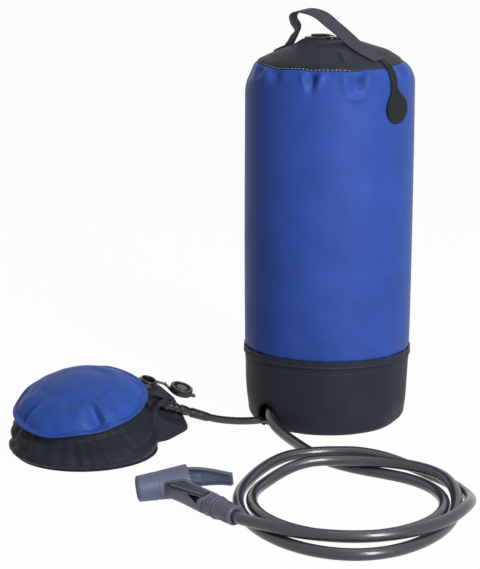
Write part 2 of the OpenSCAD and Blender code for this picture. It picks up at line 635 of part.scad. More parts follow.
lever_mid = [1.1, -75.3];
lever_r = 88.5;
module trigger() color("#74818f") at_gun() difference() {
  union() {
    translate([lever_mid[0], lever_mid[1], 0]) rotate([0, 0, 43.4]) rotate_extrude(angle = 28) union() {
      translate([lever_r - 1.5, -lever_w / 2]) square([2.5, lever_w]);
      for (s = [-1, 1]) translate([lever_r - 5, s * (lever_w / 2 - 1) - 1]) square([4, 2]);
    }
    translate([pivot_x, pivot_y, -4.6]) cylinder(r = 4, h = 9.2);
    translate([pivot_x, pivot_y, 0]) rotate([0, 0, -15]) translate([0, -3.4, -4.6]) cube([15.5, 6.8, 9.2]);
    translate([pivot_x, pivot_y, 0]) rotate([0, 0, -68]) translate([0, -2.5, -3]) cube([12, 5, 6]);
  }
  translate([pivot_x, pivot_y, -15]) cylinder(r = pin_r + fit, h = 30);
}
module trigger_pin() color("#b4b7ba") at_gun()
  translate([pivot_x, pivot_y, -9]) cylinder(r = pin_r, h = 18);

module valve_stem() color("#b4b7ba") at_gun() {
  along_x(-4) cylinder(r = 2.4, h = 22.4);
  along_x(-6) cylinder(r = 5, h = 2);
}
module stem_seal() color("#0e0e10") at_gun() difference() {
  along_x(-4) cylinder(r = 5.6, h = 2.5);
  along_x(-5) cylinder(r = 2.4, h = 5);
}
spring_turns = 5;
spring_line = [for (i = [0:8 * spring_turns])
  [-19.5 + 12.6 * i / (8 * spring_turns), 4.6 * cos(45 * i), 4.6 * sin(45 * i)]];
module valve_spring() color("#b4b7ba") at_gun() tube(spring_line, 0.6, 6, [0, 1, 0],
  spring_line[1] - spring_line[0], spring_line[1] - spring_line[0]);

module coupling_nut() color("#6f7b88") at_handle() difference() {
  union() {
    along_x(handle_len + gap) cylinder(r = nut_r - 1, h = nut_len - 2 * gap);
    along_x(handle_len + 3) cylinder(r = nut_r, h = 3);
    along_x(handle_len + 11) cylinder(r = nut_r, h = 3);
    for (k = [0:17]) rotate([20 * k, 0, 0]) translate([handle_len + 2, nut_r - 1, 0]) along_x(0)
      cylinder(r = 0.8, h = 14, $fn = 16);
  }
  along_x(handle_len - 1) cylinder(r = spigot_r + fit, h = nut_len + 4);
}
module coupling_washer() color("#0e0e10") at_handle() difference() {
  along_x(handle_len + 8) cylinder(r = spigot_r - 0.2, h = 1.6);
  along_x(handle_len + 7) cylinder(r = 4, h = 4);
}
module hose_collar() color("#6f7b88") at_handle() difference() {
  union() {
    along_x(handle_len + 9.6) cylinder(r = spigot_r, h = nut_len - 9.6);
    along_x(handle_len + nut_len) cylinder(r = nut_r - 1, h = 4);
    along_x(handle_len + nut_len + 4) cylinder(r1 = nut_r - 1.5, r2 = wr + 2, h = collar_len - 8);
    along_x(handle_len + nut_len + collar_len - 8) cylinder(r = wr + 2.6, h = 4);
    for (i = [0:2]) along_x(handle_len + nut_len + 8 + 5 * i) cylinder(r = nut_r - 1.2 - 0.4 * i, h = 2);
  }
  along_x(handle_len) cylinder(r = 3.5, h = nut_len + 10);
  along_x(hose_seat) cylinder(r = wr + 0.25, h = 40);
}

tank_sleeve();
top_panel();
tank_floor();
base_sleeve();
base_floor();
base_hem();
cutout_binding();
filler_neck();
filler_plug();
filler_tether();
carry_strap();
strap_foot_right();
strap_foot_left();
tab_root();
tab_pad();
outlet_fitting();
outlet_gasket();
outlet_nut();
outlet_ferrule();
inlet_fitting();
inlet_gasket();
inlet_nut();
inlet_ferrule();
inlet_disc();
pump_base();
pump_wall();
pump_hood();
pump_cushion();
pump_foam();
valve_neck();
valve_plug();
valve_tether();
intake_flap();
pump_connector();
connector_ring();
strain_relief();
outlet_flap();
air_hose();
water_hose_lead();
water_hose_coil();
water_hose_tail();
spray_head();
spray_face();
face_ring();
gun_handle();
handle_inlay();
trigger();
trigger_pin();
valve_stem();
stem_seal();
valve_spring();
coupling_nut();
coupling_washer();
hose_collar();
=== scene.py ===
"""Looks of a foot-pumped camp shower: water tank, foot pump, hoses and spray handset, on a plain stage."""
import math

import bmesh
import bpy
import numpy as np
from bpy.props import FloatProperty, FloatVectorProperty, PointerProperty
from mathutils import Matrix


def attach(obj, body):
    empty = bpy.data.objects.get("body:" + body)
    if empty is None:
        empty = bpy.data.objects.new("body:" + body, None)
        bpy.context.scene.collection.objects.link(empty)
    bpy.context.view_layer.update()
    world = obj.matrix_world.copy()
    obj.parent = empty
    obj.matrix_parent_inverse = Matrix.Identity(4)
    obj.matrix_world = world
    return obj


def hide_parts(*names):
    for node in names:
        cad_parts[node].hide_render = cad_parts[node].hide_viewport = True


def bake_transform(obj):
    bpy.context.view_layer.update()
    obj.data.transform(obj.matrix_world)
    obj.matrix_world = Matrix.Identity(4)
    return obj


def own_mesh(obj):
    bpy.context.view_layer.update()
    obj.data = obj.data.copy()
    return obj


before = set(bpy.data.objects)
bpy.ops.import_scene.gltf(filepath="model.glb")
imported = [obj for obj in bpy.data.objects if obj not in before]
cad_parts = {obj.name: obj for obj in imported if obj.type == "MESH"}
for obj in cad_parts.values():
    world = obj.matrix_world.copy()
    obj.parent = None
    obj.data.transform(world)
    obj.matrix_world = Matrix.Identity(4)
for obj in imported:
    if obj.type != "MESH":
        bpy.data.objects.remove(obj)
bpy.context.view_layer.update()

bl_info = {
    "name": "Camp shower",
    "version": (1, 0, 0),
    "blender": (4, 5, 0),
    "location": "3D View > Sidebar > Shower",
    "description": "Dresses the solids of a foot-pumped camp shower with cloth, rubber, hose and plastic",
    "category": "Object",
}

MM = 0.001
TURN = 2 * math.pi
MATERIALS = {}


def linear(hex_colour):
    """An sRGB hex value as linear red, green and blue."""
    parts = [int(hex_colour[i:i + 2], 16) / 255 for i in (1, 3, 5)]
    return tuple(c / 12.92 if c <= 0.04045 else ((c + 0.055) / 1.055) ** 2.4 for c in parts)


def length_prop(name, about, millimetres):
    """A size that the sidebar shows as a length."""
    return FloatProperty(name=name, description=about, default=millimetres * MM, min=0.0, unit="LENGTH")


def colour_prop(name, about, hex_colour):
    """A finish colour that the sidebar shows as a swatch."""
    return FloatVectorProperty(name=name, description=about, default=linear(hex_colour), subtype="COLOR",
                               size=3, min=0.0, max=1.0)


class ShowerSizes(bpy.types.PropertyGroup):
    """Sizes of the shower's pieces, the same as those of its solids."""
    strap_width: length_prop("Strap width", "Width of the carry strap", 24)
    strap_thickness: length_prop("Strap thickness", "Thickness of the carry strap", 1.8)
    cushion_radius: length_prop("Cushion radius", "Radius of the cushion's welded rim", 77)
    cushion_crown: length_prop("Cushion crown", "Rise of the cushion above its rim", 27)
    water_hose: length_prop("Water hose", "Outside diameter of the water hose", 12)
    air_hose: length_prop("Air hose", "Outside diameter of the air hose", 9)
    stitch: length_prop("Stitch", "Length of one stitch", 3.2)
    thread: length_prop("Thread", "Radius of the sewing thread", 0.32)


class ShowerColours(bpy.types.PropertyGroup):
    """Colours of the shower's finishes."""
    tank: colour_prop("Tank", "Coated cloth of the tank", "#2d4a97")
    cushion: colour_prop("Cushion", "Coated cloth of the pump's cushion", "#2e509f")
    base: colour_prop("Base", "Coated cloth of the base, top and pump", "#2a2c35")
    webbing: colour_prop("Webbing", "Woven strap", "#3a3b44")
    hose: colour_prop("Hose", "Extruded hose", "#2b2a31")
    handset: colour_prop("Handset", "Moulded plastic of the handset", "#4f576d")
    rubber: colour_prop("Rubber", "Moulded stoppers and seals", "#1c1c1f")
    thread: colour_prop("Thread", "Sewing thread", "#b9bdcc")


def add(tree, kind, inputs=None, **settings):
    """Adds one node with its settings; inputs maps a socket to a value or to the socket that feeds it."""
    node = tree.nodes.new(kind)
    for key, value in settings.items():
        setattr(node, key, value)
    for key, value in (inputs or {}).items():
        if isinstance(value, bpy.types.NodeSocket):
            tree.links.new(value, node.inputs[key])
        else:
            node.inputs[key].default_value = value
    return node


def emptied(owner):
    """The node tree of a new material or world, with no nodes in it."""
    owner.use_nodes = True
    owner.node_tree.nodes.clear()
    return owner.node_tree


def shader(name, values):
    """A new material with one principled shader, its node tree and that shader."""
    material = bpy.data.materials.new(name)
    tree = emptied(material)
    surface = add(tree, "ShaderNodeBsdfPrincipled", values)
    add(tree, "ShaderNodeOutputMaterial", {"Surface": surface.outputs[0]})
    return material, tree, surface


def bands(period_mm):
    """Scale of a banded wave texture whose bands are that far apart."""
    return TURN / 20 / (period_mm * MM)


def mottle(tree, surface, coords, colour, cell_mm, low, high):
    """Varies the base colour from low to high times itself in patches of that size."""
    noise = add(tree, "ShaderNodeTexNoise", {"Vector": coords, "Scale": 1 / (cell_mm * MM), "Detail": 4.0})
    ramp = add(tree, "ShaderNodeValToRGB", {"Fac": noise.outputs["Fac"]})
    for element, place, level in zip(ramp.color_ramp.elements, (0.3, 0.72), (low, high)):
        element.position = place
        element.color = (*[min(1.0, c * level) for c in colour], 1)
    tree.links.new(ramp.outputs["Color"], surface.inputs["Base Color"])
    return noise


def vary_roughness(tree, surface, fac, low, high):
    """Lets roughness wander from low to high with a pattern."""
    spread = add(tree, "ShaderNodeMapRange", {"Value": fac, "To Min": low, "To Max": high})
    tree.links.new(spread.outputs["Result"], surface.inputs["Roughness"])


def relief(tree, surface, heights):
    """Stacks reliefs: each is (height socket, depth in mm, strength)."""
    normal = None
    for height, depth, strength in heights:
        inputs = {"Height": height, "Distance": depth * MM, "Strength": strength}
        if normal is not None:
            inputs["Normal"] = normal
        normal = add(tree, "ShaderNodeBump", inputs).outputs["Normal"]
    tree.links.new(normal, surface.inputs["Normal"])


def woven(name, colour, thread_mm, rough, gloss, crumple):
    """Polyester cloth, plain woven and coated: a satin face with a fine weave and faint crumples."""
    material, tree, surface = shader(name, {"Roughness": rough, "IOR": 1.5, "Specular IOR Level": gloss})
    uv = add(tree, "ShaderNodeUVMap", uv_map="cloth").outputs["UV"]
    place = add(tree, "ShaderNodeTexCoord").outputs["Object"]
    weave = []
    for way in ("X", "Y"):
        weave.append(add(tree, "ShaderNodeTexWave", {
            "Vector": uv, "Scale": bands(thread_mm), "Distortion": 1.2, "Detail": 2.0, "Detail Scale": 0.2},
            bands_direction=way).outputs["Fac"])
    cloth = add(tree, "ShaderNodeMath", {0: weave[0], 1: weave[1]}, operation="ADD").outputs[0]
    patches = mottle(tree, surface, place, colour, 45, 0.86, 1.1)
    folds = add(tree, "ShaderNodeTexNoise", {"Vector": place, "Scale": 1 / (11 * MM), "Detail": 5.0,
                                            "Roughness": 0.62, "Distortion": 0.6}).outputs["Fac"]
    vary_roughness(tree, surface, patches.outputs["Fac"], rough - 0.07, rough + 0.07)
    relief(tree, surface, [(folds, crumple, 0.5), (cloth, 0.09, 0.45)])
    return material


def webbing(name, colour):
    """Polypropylene webbing, woven in a herringbone: matt, with ribs along it and thread-high picks across it."""
    material, tree, surface = shader(name, {"Roughness": 0.72, "IOR": 1.49, "Specular IOR Level": 0.2,
                                            "Sheen Weight": 0.03})
    uv = add(tree, "ShaderNodeUVMap", uv_map="cloth").outputs["UV"]
    place = add(tree, "ShaderNodeTexCoord").outputs["Object"]
    ribs = add(tree, "ShaderNodeTexWave", {"Vector": uv, "Scale": bands(2.4), "Distortion": 0.5},
               bands_direction="X").outputs["Fac"]
    picks = add(tree, "ShaderNodeTexWave", {"Vector": uv, "Scale": bands(1.5), "Distortion": 0.8},
                bands_direction="DIAGONAL").outputs["Fac"]
    both = add(tree, "ShaderNodeMath", {0: ribs, 1: picks}, operation="ADD").outputs[0]
    mottle(tree, surface, place, colour, 18, 0.82, 1.14)
    relief(tree, surface, [(both, 0.35, 0.6)])
    return material


def moulded(name, colour, rough, grain_mm, grain, coat=0.0, spread=0.06, shine=0.5):
    """A moulded or extruded polymer: even colour, faint flow marks, fine grain and gloss that wanders a little."""
    material, tree, surface = shader(name, {"Roughness": rough, "IOR": 1.5, "Specular IOR Level": shine,
                                            "Coat Weight": coat, "Coat Roughness": 0.12})
    place = add(tree, "ShaderNodeTexCoord").outputs["Object"]
    patches = mottle(tree, surface, place, colour, 14, 0.93, 1.05)
    speck = add(tree, "ShaderNodeTexNoise", {"Vector": place, "Scale": 1 / (grain_mm * MM), "Detail": 3.0})
    vary_roughness(tree, surface, patches.outputs["Fac"], rough - spread, rough + spread)
    relief(tree, surface, [(speck.outputs["Fac"], grain, 0.3)])
    return material


def drawn_steel(name):
    """Stainless wire and pin stock, drawn: bright, with fine lines along it."""
    material, tree, surface = shader(name, {"Metallic": 1.0, "Roughness": 0.28})
    place = add(tree, "ShaderNodeTexCoord").outputs["Object"]
    lines = mottle(tree, surface, place, linear("#b9bbbe"), 1.5, 0.9, 1.05)
    vary_roughness(tree, surface, lines.outputs["Fac"], 0.22, 0.36)
    return material


def open_foam(name):
    """Polyurethane foam, open cell: pale, dull and pitted."""
    material, tree, surface = shader(name, {"Roughness": 0.95, "IOR": 1.45})
    place = add(tree, "ShaderNodeTexCoord").outputs["Object"]
    mottle(tree, surface, place, linear("#d8cf9a"), 6, 0.8, 1.0)
    cells = add(tree, "ShaderNodeTexVoronoi", {"Vector": place, "Scale": 1 / (1.6 * MM)})
    relief(tree, surface, [(cells.outputs["Distance"], 0.6, 0.7)])
    return material


def make_materials(colours):
    """All finishes of the object, by the short names the pieces use."""
    MATERIALS.update({
        "tank": woven("Coated polyester cloth blue", tuple(colours.tank), 1.7, 0.46, 0.12, 0.5),
        "cushion": woven("Coated polyester cloth cushion", tuple(colours.cushion), 1.5, 0.46, 0.15, 0.3),
        "black": woven("Coated polyester cloth black", tuple(colours.base), 1.6, 0.52, 0.08, 0.5),
        "binding": woven("Polyester binding tape", linear("#101114"), 1.2, 0.6, 0.1, 0.2),
        "webbing": webbing("Polypropylene webbing grey", tuple(colours.webbing)),
        "tab": webbing("Polypropylene webbing dark", linear("#17181d")),
        "thread": moulded("Polyester thread twisted", tuple(colours.thread), 0.6, 0.5, 0.05),
        "dull_thread": moulded("Polyester thread dark", linear("#3c3e4a"), 0.7, 0.5, 0.05),
        "stopper": moulded("Soft PVC stopper moulded", tuple(colours.rubber), 0.34, 0.8, 0.06, coat=0.15),
        "seal": moulded("Nitrile rubber moulded", linear("#121214"), 0.55, 0.5, 0.05),
        "fitting": moulded("ABS fitting gloss black", linear("#131417"), 0.2, 1.2, 0.03, coat=0.3),
        "hose": moulded("Soft PVC hose extruded", tuple(colours.hose), 0.3, 5.0, 0.12, coat=0.25, spread=0.05),
        "air_hose": moulded("Soft PVC air hose extruded", linear("#242329"), 0.3, 5.0, 0.1, coat=0.2),
        "handset": moulded("ABS handset moulded slate", tuple(colours.handset), 0.42, 0.9, 0.04),
        "nut": moulded("ABS coupling moulded slate", linear("#4f5060"), 0.4, 0.9, 0.04),
        "inlay": moulded("Soft grip moulded dark", linear("#191c26"), 0.42, 0.7, 0.08, shine=0.2),
        "steel": drawn_steel("Stainless steel drawn"),
        "foam": open_foam("Polyurethane foam open cell"),
    })


def turned(location, x=0.0, y=0.0, z=0.0):
    """A placement in millimetres: turned about X, then Y, then Z, in degrees, then moved."""
    a, b, c = (math.radians(v) for v in (x, y, z))
    rx = np.array([[1, 0, 0], [0, math.cos(a), -math.sin(a)], [0, math.sin(a), math.cos(a)]])
    ry = np.array([[math.cos(b), 0, math.sin(b)], [0, 1, 0], [-math.sin(b), 0, math.cos(b)]])
    rz = np.array([[math.cos(c), -math.sin(c), 0], [math.sin(c), math.cos(c), 0], [0, 0, 1]])
    m = np.eye(4)
    m[:3, :3] = rz @ ry @ rx
    m[:3, 3] = location
    return m


def put(matrix, points):
    """Points moved by a placement."""
    points = np.asarray(points, float)
    return points @ matrix[:3, :3].T + matrix[:3, 3]


# Sizes and places in millimetres, the same as those of the solids.
TANK_R, SHOULDER_R, SHOULDER_Z, CROWN_Z = 100, 30, 409, 456.977
BASE_H, BASE_FLOOR_R, BASE_EDGE = 92, 84, 12
BASE_BEND = BASE_EDGE * math.pi / 2
PUMP_X, PUMP_Y, CUSHION_X = -281, -140, -288
PUMP = turned((PUMP_X, PUMP_Y, 0), z=27)
VALVE = PUMP @ turned((85.5, 21.5, 63), 10, 18, -23)
CONNECTOR = PUMP @ turned((94.5, -11, 43.5), y=22)
FILLER = turned((-11, 0, CROWN_Z), z=25)
CUSHION = turned((CUSHION_X, PUMP_Y, 57), x=14, y=-5.5)
GUN = turned((-180.4, -310.4, 17.3), 3.4, -5.8, 12.25)
HANDLE = GUN @ turned((0, 0, 0), z=24.8 - 90)
ALONG_X = turned((0, 0, 0), y=90)


def smooth(t):
    """Eases from 0 to 1."""
    t = np.clip(t, 0.0, 1.0)
    return t * t * (3 - 2 * t)


def hump(x, middle, width):
    """A soft bell of height 1."""
    return np.exp(-((np.asarray(x, float) - middle) / width) ** 2)


def angle_from(az, middle):
    """Signed difference of two bearings in degrees."""
    return (np.asarray(az, float) - middle + 180) % 360 - 180


def through(points, per_span):
    """A smooth line through points, with that many steps between each two."""
    p = np.asarray(points, float)
    p = np.vstack([2 * p[0] - p[1], p, 2 * p[-1] - p[-2]])
    out = []
    for i in range(1, len(p) - 2):
        a, b, c, d = p[i - 1:i + 3]
        for t in np.arange(per_span) / per_span:
            out.append(b + 0.5 * t * (c - a) + t * t * (a - 2.5 * b + 2 * c - 0.5 * d)
                       + t ** 3 * (1.5 * b - 0.5 * a - 1.5 * c + 0.5 * d))
    out.append(p[-2])
    return np.array(out)


def evenly(points, step):
    """The same line with its points about that far apart."""
    p = np.asarray(points, float)
    run = np.concatenate([[0], np.cumsum(np.linalg.norm(np.diff(p, axis=0), axis=1))])
    at = np.linspace(0, run[-1], max(2, int(round(run[-1] / step)) + 1))
    return np.stack([np.interp(at, run, p[:, k]) for k in range(p.shape[1])], axis=1)


def bearings(count):
    """Bearings in degrees, evenly round from -180."""
    return np.arange(count) / count * 360 - 180


def stood(name, data):
    """A new object in the scene that holds some data."""
    obj = bpy.data.objects.new(name, data)
    bpy.context.scene.collection.objects.link(obj)
    return obj


def discard(obj):
    """Removes an object and its mesh."""
    old = obj.data
    bpy.data.objects.remove(obj)
    bpy.data.meshes.remove(old)


def points_of(obj):
    """An object's own points in millimetres."""
    co = np.zeros(len(obj.data.vertices) * 3)
    obj.data.vertices.foreach_get("co", co)
    return co.reshape(-1, 3) / MM


def shade_smooth(mesh):
    """Shades all of a mesh's faces smooth."""
    mesh.polygons.foreach_set("use_smooth", [True] * len(mesh.polygons))


def piece(name, points, faces, material, uv=None):
    """A smooth mesh object at the origin from points in millimetres; uv gives each face's corners."""
    mesh = bpy.data.meshes.new(name)
    mesh.from_pydata((np.asarray(points, float) * MM).tolist(), [], faces)
    mesh.materials.append(MATERIALS[material])
    if uv is not None:
        layer = mesh.uv_layers.new(name="cloth")
        layer.data.foreach_set("uv", (np.asarray(uv, float).reshape(-1) * MM).astype(np.float32))
    shade_smooth(mesh)
    mesh.update()
    return stood(name, mesh)


def grid(name, points, material, wrap=True, uv=None, flip=False, start_cap=False, end_cap=False):
    """A sheet over rows of points; wrap joins each row's ends, and a cap closes the first or last row."""
    p = np.asarray(points, float)
    n, m = p.shape[:2]
    cols = m if wrap else m - 1
    i, j = np.meshgrid(np.arange(n - 1), np.arange(cols), indexing="ij")
    k = (j + 1) % m
    quads = np.stack([i * m + j, i * m + k, (i + 1) * m + k, (i + 1) * m + j], axis=-1).reshape(-1, 4)
    corners = None
    if uv is not None:
        u = np.asarray(uv, float)
        corners = np.stack([u[i, j], u[i, j + 1], u[i + 1, j + 1], u[i + 1, j]], axis=2).reshape(-1, 4, 2)
    if flip:
        quads = quads[:, ::-1]
        corners = None if corners is None else corners[:, ::-1]
    faces = quads.tolist()
    corners = None if corners is None else corners.reshape(-1, 2).tolist()
    flat = p.reshape(-1, 3).tolist()
    for wanted, row, turn in ((start_cap, 0, False), (end_cap, n - 1, True)):
        if not wanted:
            continue
        flat.append(p[row].mean(axis=0).tolist())
        middle = len(flat) - 1
        for c in range(m):
            tri = [row * m + (c + 1) % m, row * m + c, middle]
            faces.append(tri[::-1] if turn != flip else tri)
            if corners is not None:
                corners.extend([[0, 0]] * 3)
    return piece(name, flat, faces, material, corners)


def rounded(profile, radius, closed):
    """The same outline with each corner eased over that distance."""
    p = np.asarray(profile, float)
    out = []
    for i, here in enumerate(p):
        if not closed and i in (0, len(p) - 1):
            out.append(here)
            continue
        a, b = p[i - 1] - here, p[(i + 1) % len(p)] - here
        la, lb = np.linalg.norm(a), np.linalg.norm(b)
        d = min(radius, 0.42 * la, 0.42 * lb)
        first, last = here + a / la * d, here + b / lb * d
        out.extend([here + a / la * d * 1.15, first])
        for t in (0.25, 0.5, 0.75):
            out.append((1 - t) ** 2 * first + 2 * t * (1 - t) * here + t * t * last)
        out.extend([last, here + b / lb * d * 1.15])
    return np.array(out)


def lathe(name, profile, matrix, material, radius=0.5, closed=True, segments=64):
    """A turned piece: profile holds (radius, height) about the placement's Z axis."""
    p = rounded(profile, radius, closed) if radius > 0 else np.asarray(profile, float)
    if closed:
        p = np.vstack([p, p[:1]])
    a = np.arange(segments) / segments * TURN
    rows = np.stack([p[:, :1] * np.cos(a), p[:, :1] * np.sin(a), np.repeat(p[:, 1:], segments, 1)], axis=-1)
    obj = grid(name, put(matrix, rows.reshape(-1, 3)).reshape(rows.shape), material)
    tidy(obj)
    return obj


def tidy(obj):
    """Merges doubled points and turns all faces outwards."""
    bm = bmesh.new()
    bm.from_mesh(obj.data)
    bmesh.ops.remove_doubles(bm, verts=bm.verts, dist=0.00001)
    bmesh.ops.dissolve_degenerate(bm, edges=bm.edges, dist=0.000001)
    bmesh.ops.recalc_face_normals(bm, faces=bm.faces)
    bm.to_mesh(obj.data)
    bm.free()
    shade_smooth(obj.data)
    obj.data.update()
    return obj


def settle(obj):
    """Turns an object's modifiers into plain mesh."""
    depsgraph = bpy.context.evaluated_depsgraph_get()
    mesh = bpy.data.meshes.new_from_object(obj.evaluated_get(depsgraph), preserve_all_data_layers=True,
                                           depsgraph=depsgraph)
    obj.modifiers.clear()
    old, obj.data = obj.data, mesh
    bpy.data.meshes.remove(old)
    mesh.name = obj.name
    return obj


def thicken(obj, thickness):
    """Gives a sheet its thickness inwards."""
    wall = obj.modifiers.new("Wall", "SOLIDIFY")
    wall.thickness = thickness * MM
    wall.offset = -1
    return settle(obj)


def join(obj, *others):
    """Puts other meshes into an object's own mesh."""
    bm = bmesh.new()
    bm.from_mesh(obj.data)
    for other in others:
        slots = []
        for material in other.data.materials:
            if material.name not in obj.data.materials:
                obj.data.materials.append(material)
            slots.append(obj.data.materials.find(material.name))
        start = len(bm.faces)
        bm.from_mesh(other.data)
        bm.faces.ensure_lookup_table()
        for face in bm.faces[start:]:
            face.material_index = slots[face.material_index]
        discard(other)
    bm.to_mesh(obj.data)
    bm.free()
    return obj


def boolean(obj, other, operation):
    """Unites with another solid, or cuts it away, and removes it."""
    change = obj.modifiers.new("Cut", "BOOLEAN")
    change.operation = operation
    change.solver = "EXACT"
    change.object = other
    settle(obj)
    discard(other)
    shade_smooth(obj.data)
    return obj


def crisp(obj, degrees):
    """Keeps edges sharper than an angle sharp in the shading."""
    bm = bmesh.new()
    bm.from_mesh(obj.data)
    for edge in bm.edges:
        edge.smooth = not (edge.is_manifold and edge.calc_face_angle(0) > math.radians(degrees))
    bm.to_mesh(obj.data)
    bm.free()
    return obj


def sweep(name, path, sides, section, material, uv=True):
    """A closed section carried along a line; sides give the section's first axis at each point."""
    p, s = np.asarray(path, float), np.asarray(sides, float)
    ahead = np.gradient(p, axis=0)
    ahead /= np.linalg.norm(ahead, axis=1, keepdims=True)
    s = s - (s * ahead).sum(1, keepdims=True) * ahead
    s /= np.linalg.norm(s, axis=1, keepdims=True)
    up = np.cross(ahead, s)
    section = np.asarray(section, float)
    if section.ndim == 2:
        section = np.repeat(section[None], len(p), 0)
    rows = p[:, None] + section[..., :1] * s[:, None] + section[..., 1:] * up[:, None]
    corners = None
    if uv:
        run = np.concatenate([[0], np.cumsum(np.linalg.norm(np.diff(p, axis=0), axis=1))])
        across = np.concatenate([section[..., 0], section[:, :1, 0]], axis=1)
        corners = np.stack([across, np.repeat(run[:, None], across.shape[1], 1)], axis=-1)
    obj = grid(name, rows, material, uv=corners, start_cap=True, end_cap=True)
    return tidy(obj)


def strip_section(width, thickness):
    """The section of flat webbing with rounded edges."""
    half, t = width / 2, thickness / 2
    xs = np.linspace(-half + t, half - t, 11)
    ends = [[(-half + t - t * math.cos(a)), t * math.sin(a)] for a in (-1.0, -0.5, 0, 0.5, 1.0)]
    low = [[x, -t] for x in xs]
    high = [[x, t] for x in xs[::-1]]
    right = [[-x, y] for x, y in ends]
    left = [[x, -y] for x, y in ends]
    return np.array(low + right + high + left)


def outline_plate(name, outline, low, high, matrix, material, edge=0.5):
    """A plate cut to an outline between two heights, with eased edges."""
    p = np.asarray(outline, float)
    n = len(p)
    ahead = np.roll(p, -1, 0) - np.roll(p, 1, 0)
    inward = np.stack([-ahead[:, 1], ahead[:, 0]], axis=1)
    inward /= np.linalg.norm(inward, axis=1, keepdims=True)
    area = (p[:, 0] * np.roll(p[:, 1], -1) - np.roll(p[:, 0], -1) * p[:, 1]).sum()
    inward *= 1 if area > 0 else -1
    rows = []
    for inset, height in ((edge, low), (0.3 * edge, low + 0.3 * edge), (0, low + edge),
                          (0, high - edge), (0.3 * edge, high - 0.3 * edge), (edge, high)):
        rows.append(np.column_stack([p + inset * inward, np.full(n, height)]))
    rows = np.array(rows)
    obj = grid(name, put(matrix, rows.reshape(-1, 3)).reshape(rows.shape), material,
               start_cap=True, end_cap=True)
    return tidy(obj)


def capsule_outline(a, b, ra, rb):
    """The outline round two circles, as of a link or lug."""
    steps = 14
    a, b = np.asarray(a, float), np.asarray(b, float)
    way = math.atan2(b[1] - a[1], b[0] - a[0])
    lean = math.acos(max(-1, min(1, (ra - rb) / np.linalg.norm(b - a))))
    out = [b + rb * np.array([math.cos(q), math.sin(q)]) for q in np.linspace(way - lean, way + lean, steps)]
    out += [a + ra * np.array([math.cos(q), math.sin(q)])
            for q in np.linspace(way + lean, way + TURN - lean, steps)]
    return np.array(out)


def socket_tree(name, sockets):
    """A new geometry tree with its named inputs, and its input node."""
    tree = bpy.data.node_groups.new(name, "GeometryNodeTree")
    tree.interface.new_socket("Geometry", in_out="INPUT", socket_type="NodeSocketGeometry")
    for label, kind in sockets.items():
        tree.interface.new_socket(label, in_out="INPUT", socket_type=kind)
    tree.interface.new_socket("Geometry", in_out="OUTPUT", socket_type="NodeSocketGeometry")
    return tree, add(tree, "NodeGroupInput")


def close_tree(tree, geometry, material):
    """Ends a tree in real geometry with one material."""
    real = add(tree, "GeometryNodeRealizeInstances", {"Geometry": geometry})
    shaded = add(tree, "GeometryNodeSetShadeSmooth", {"Geometry": real.outputs[0]})
    done = add(tree, "GeometryNodeSetMaterial", {"Geometry": shaded.outputs[0], "Material": material})
    add(tree, "NodeGroupOutput", {0: done.outputs[0]})
    return tree


FLOAT, MATERIAL = "NodeSocketFloat", "NodeSocketMaterial"


def stitch_tree():
    """Stitches of one length set along a line."""
    tree, given = socket_tree("Stitch row", {"Spacing": FLOAT, "Stitch": FLOAT, "Thread": FLOAT,
                                             "Material": MATERIAL})
    line = add(tree, "GeometryNodeMeshToCurve", {"Mesh": given.outputs["Geometry"]})
    spots = add(tree, "GeometryNodeCurveToPoints", {"Curve": line.outputs[0], "Length": given.outputs["Spacing"]},
                mode="LENGTH")
    grain = add(tree, "GeometryNodeMeshUVSphere", {"Segments": 6, "Rings": 4, "Radius": 1.0})
    half = add(tree, "ShaderNodeMath", {0: given.outputs["Stitch"], 1: 0.5}, operation="MULTIPLY")
    size = add(tree, "ShaderNodeCombineXYZ", {"X": given.outputs["Thread"], "Y": given.outputs["Thread"],
                                              "Z": half.outputs[0]})
    rows = add(tree, "GeometryNodeInstanceOnPoints", {
        "Points": spots.outputs["Points"], "Instance": grain.outputs["Mesh"],
        "Rotation": spots.outputs["Rotation"], "Scale": size.outputs[0]})
    return close_tree(tree, rows.outputs[0], given.outputs["Material"])


def tube_tree():
    """A round tube along a line, closed at its ends."""
    tree, given = socket_tree("Hose along a line", {"Radius": FLOAT, "Material": MATERIAL})
    line = add(tree, "GeometryNodeMeshToCurve", {"Mesh": given.outputs["Geometry"]})
    ring = add(tree, "GeometryNodeCurvePrimitiveCircle", {"Resolution": 20, "Radius": given.outputs["Radius"]})
    tube = add(tree, "GeometryNodeCurveToMesh", {"Curve": line.outputs[0],
                                                 "Profile Curve": ring.outputs[0], "Fill Caps": True})
    return close_tree(tree, tube.outputs[0], given.outputs["Material"])


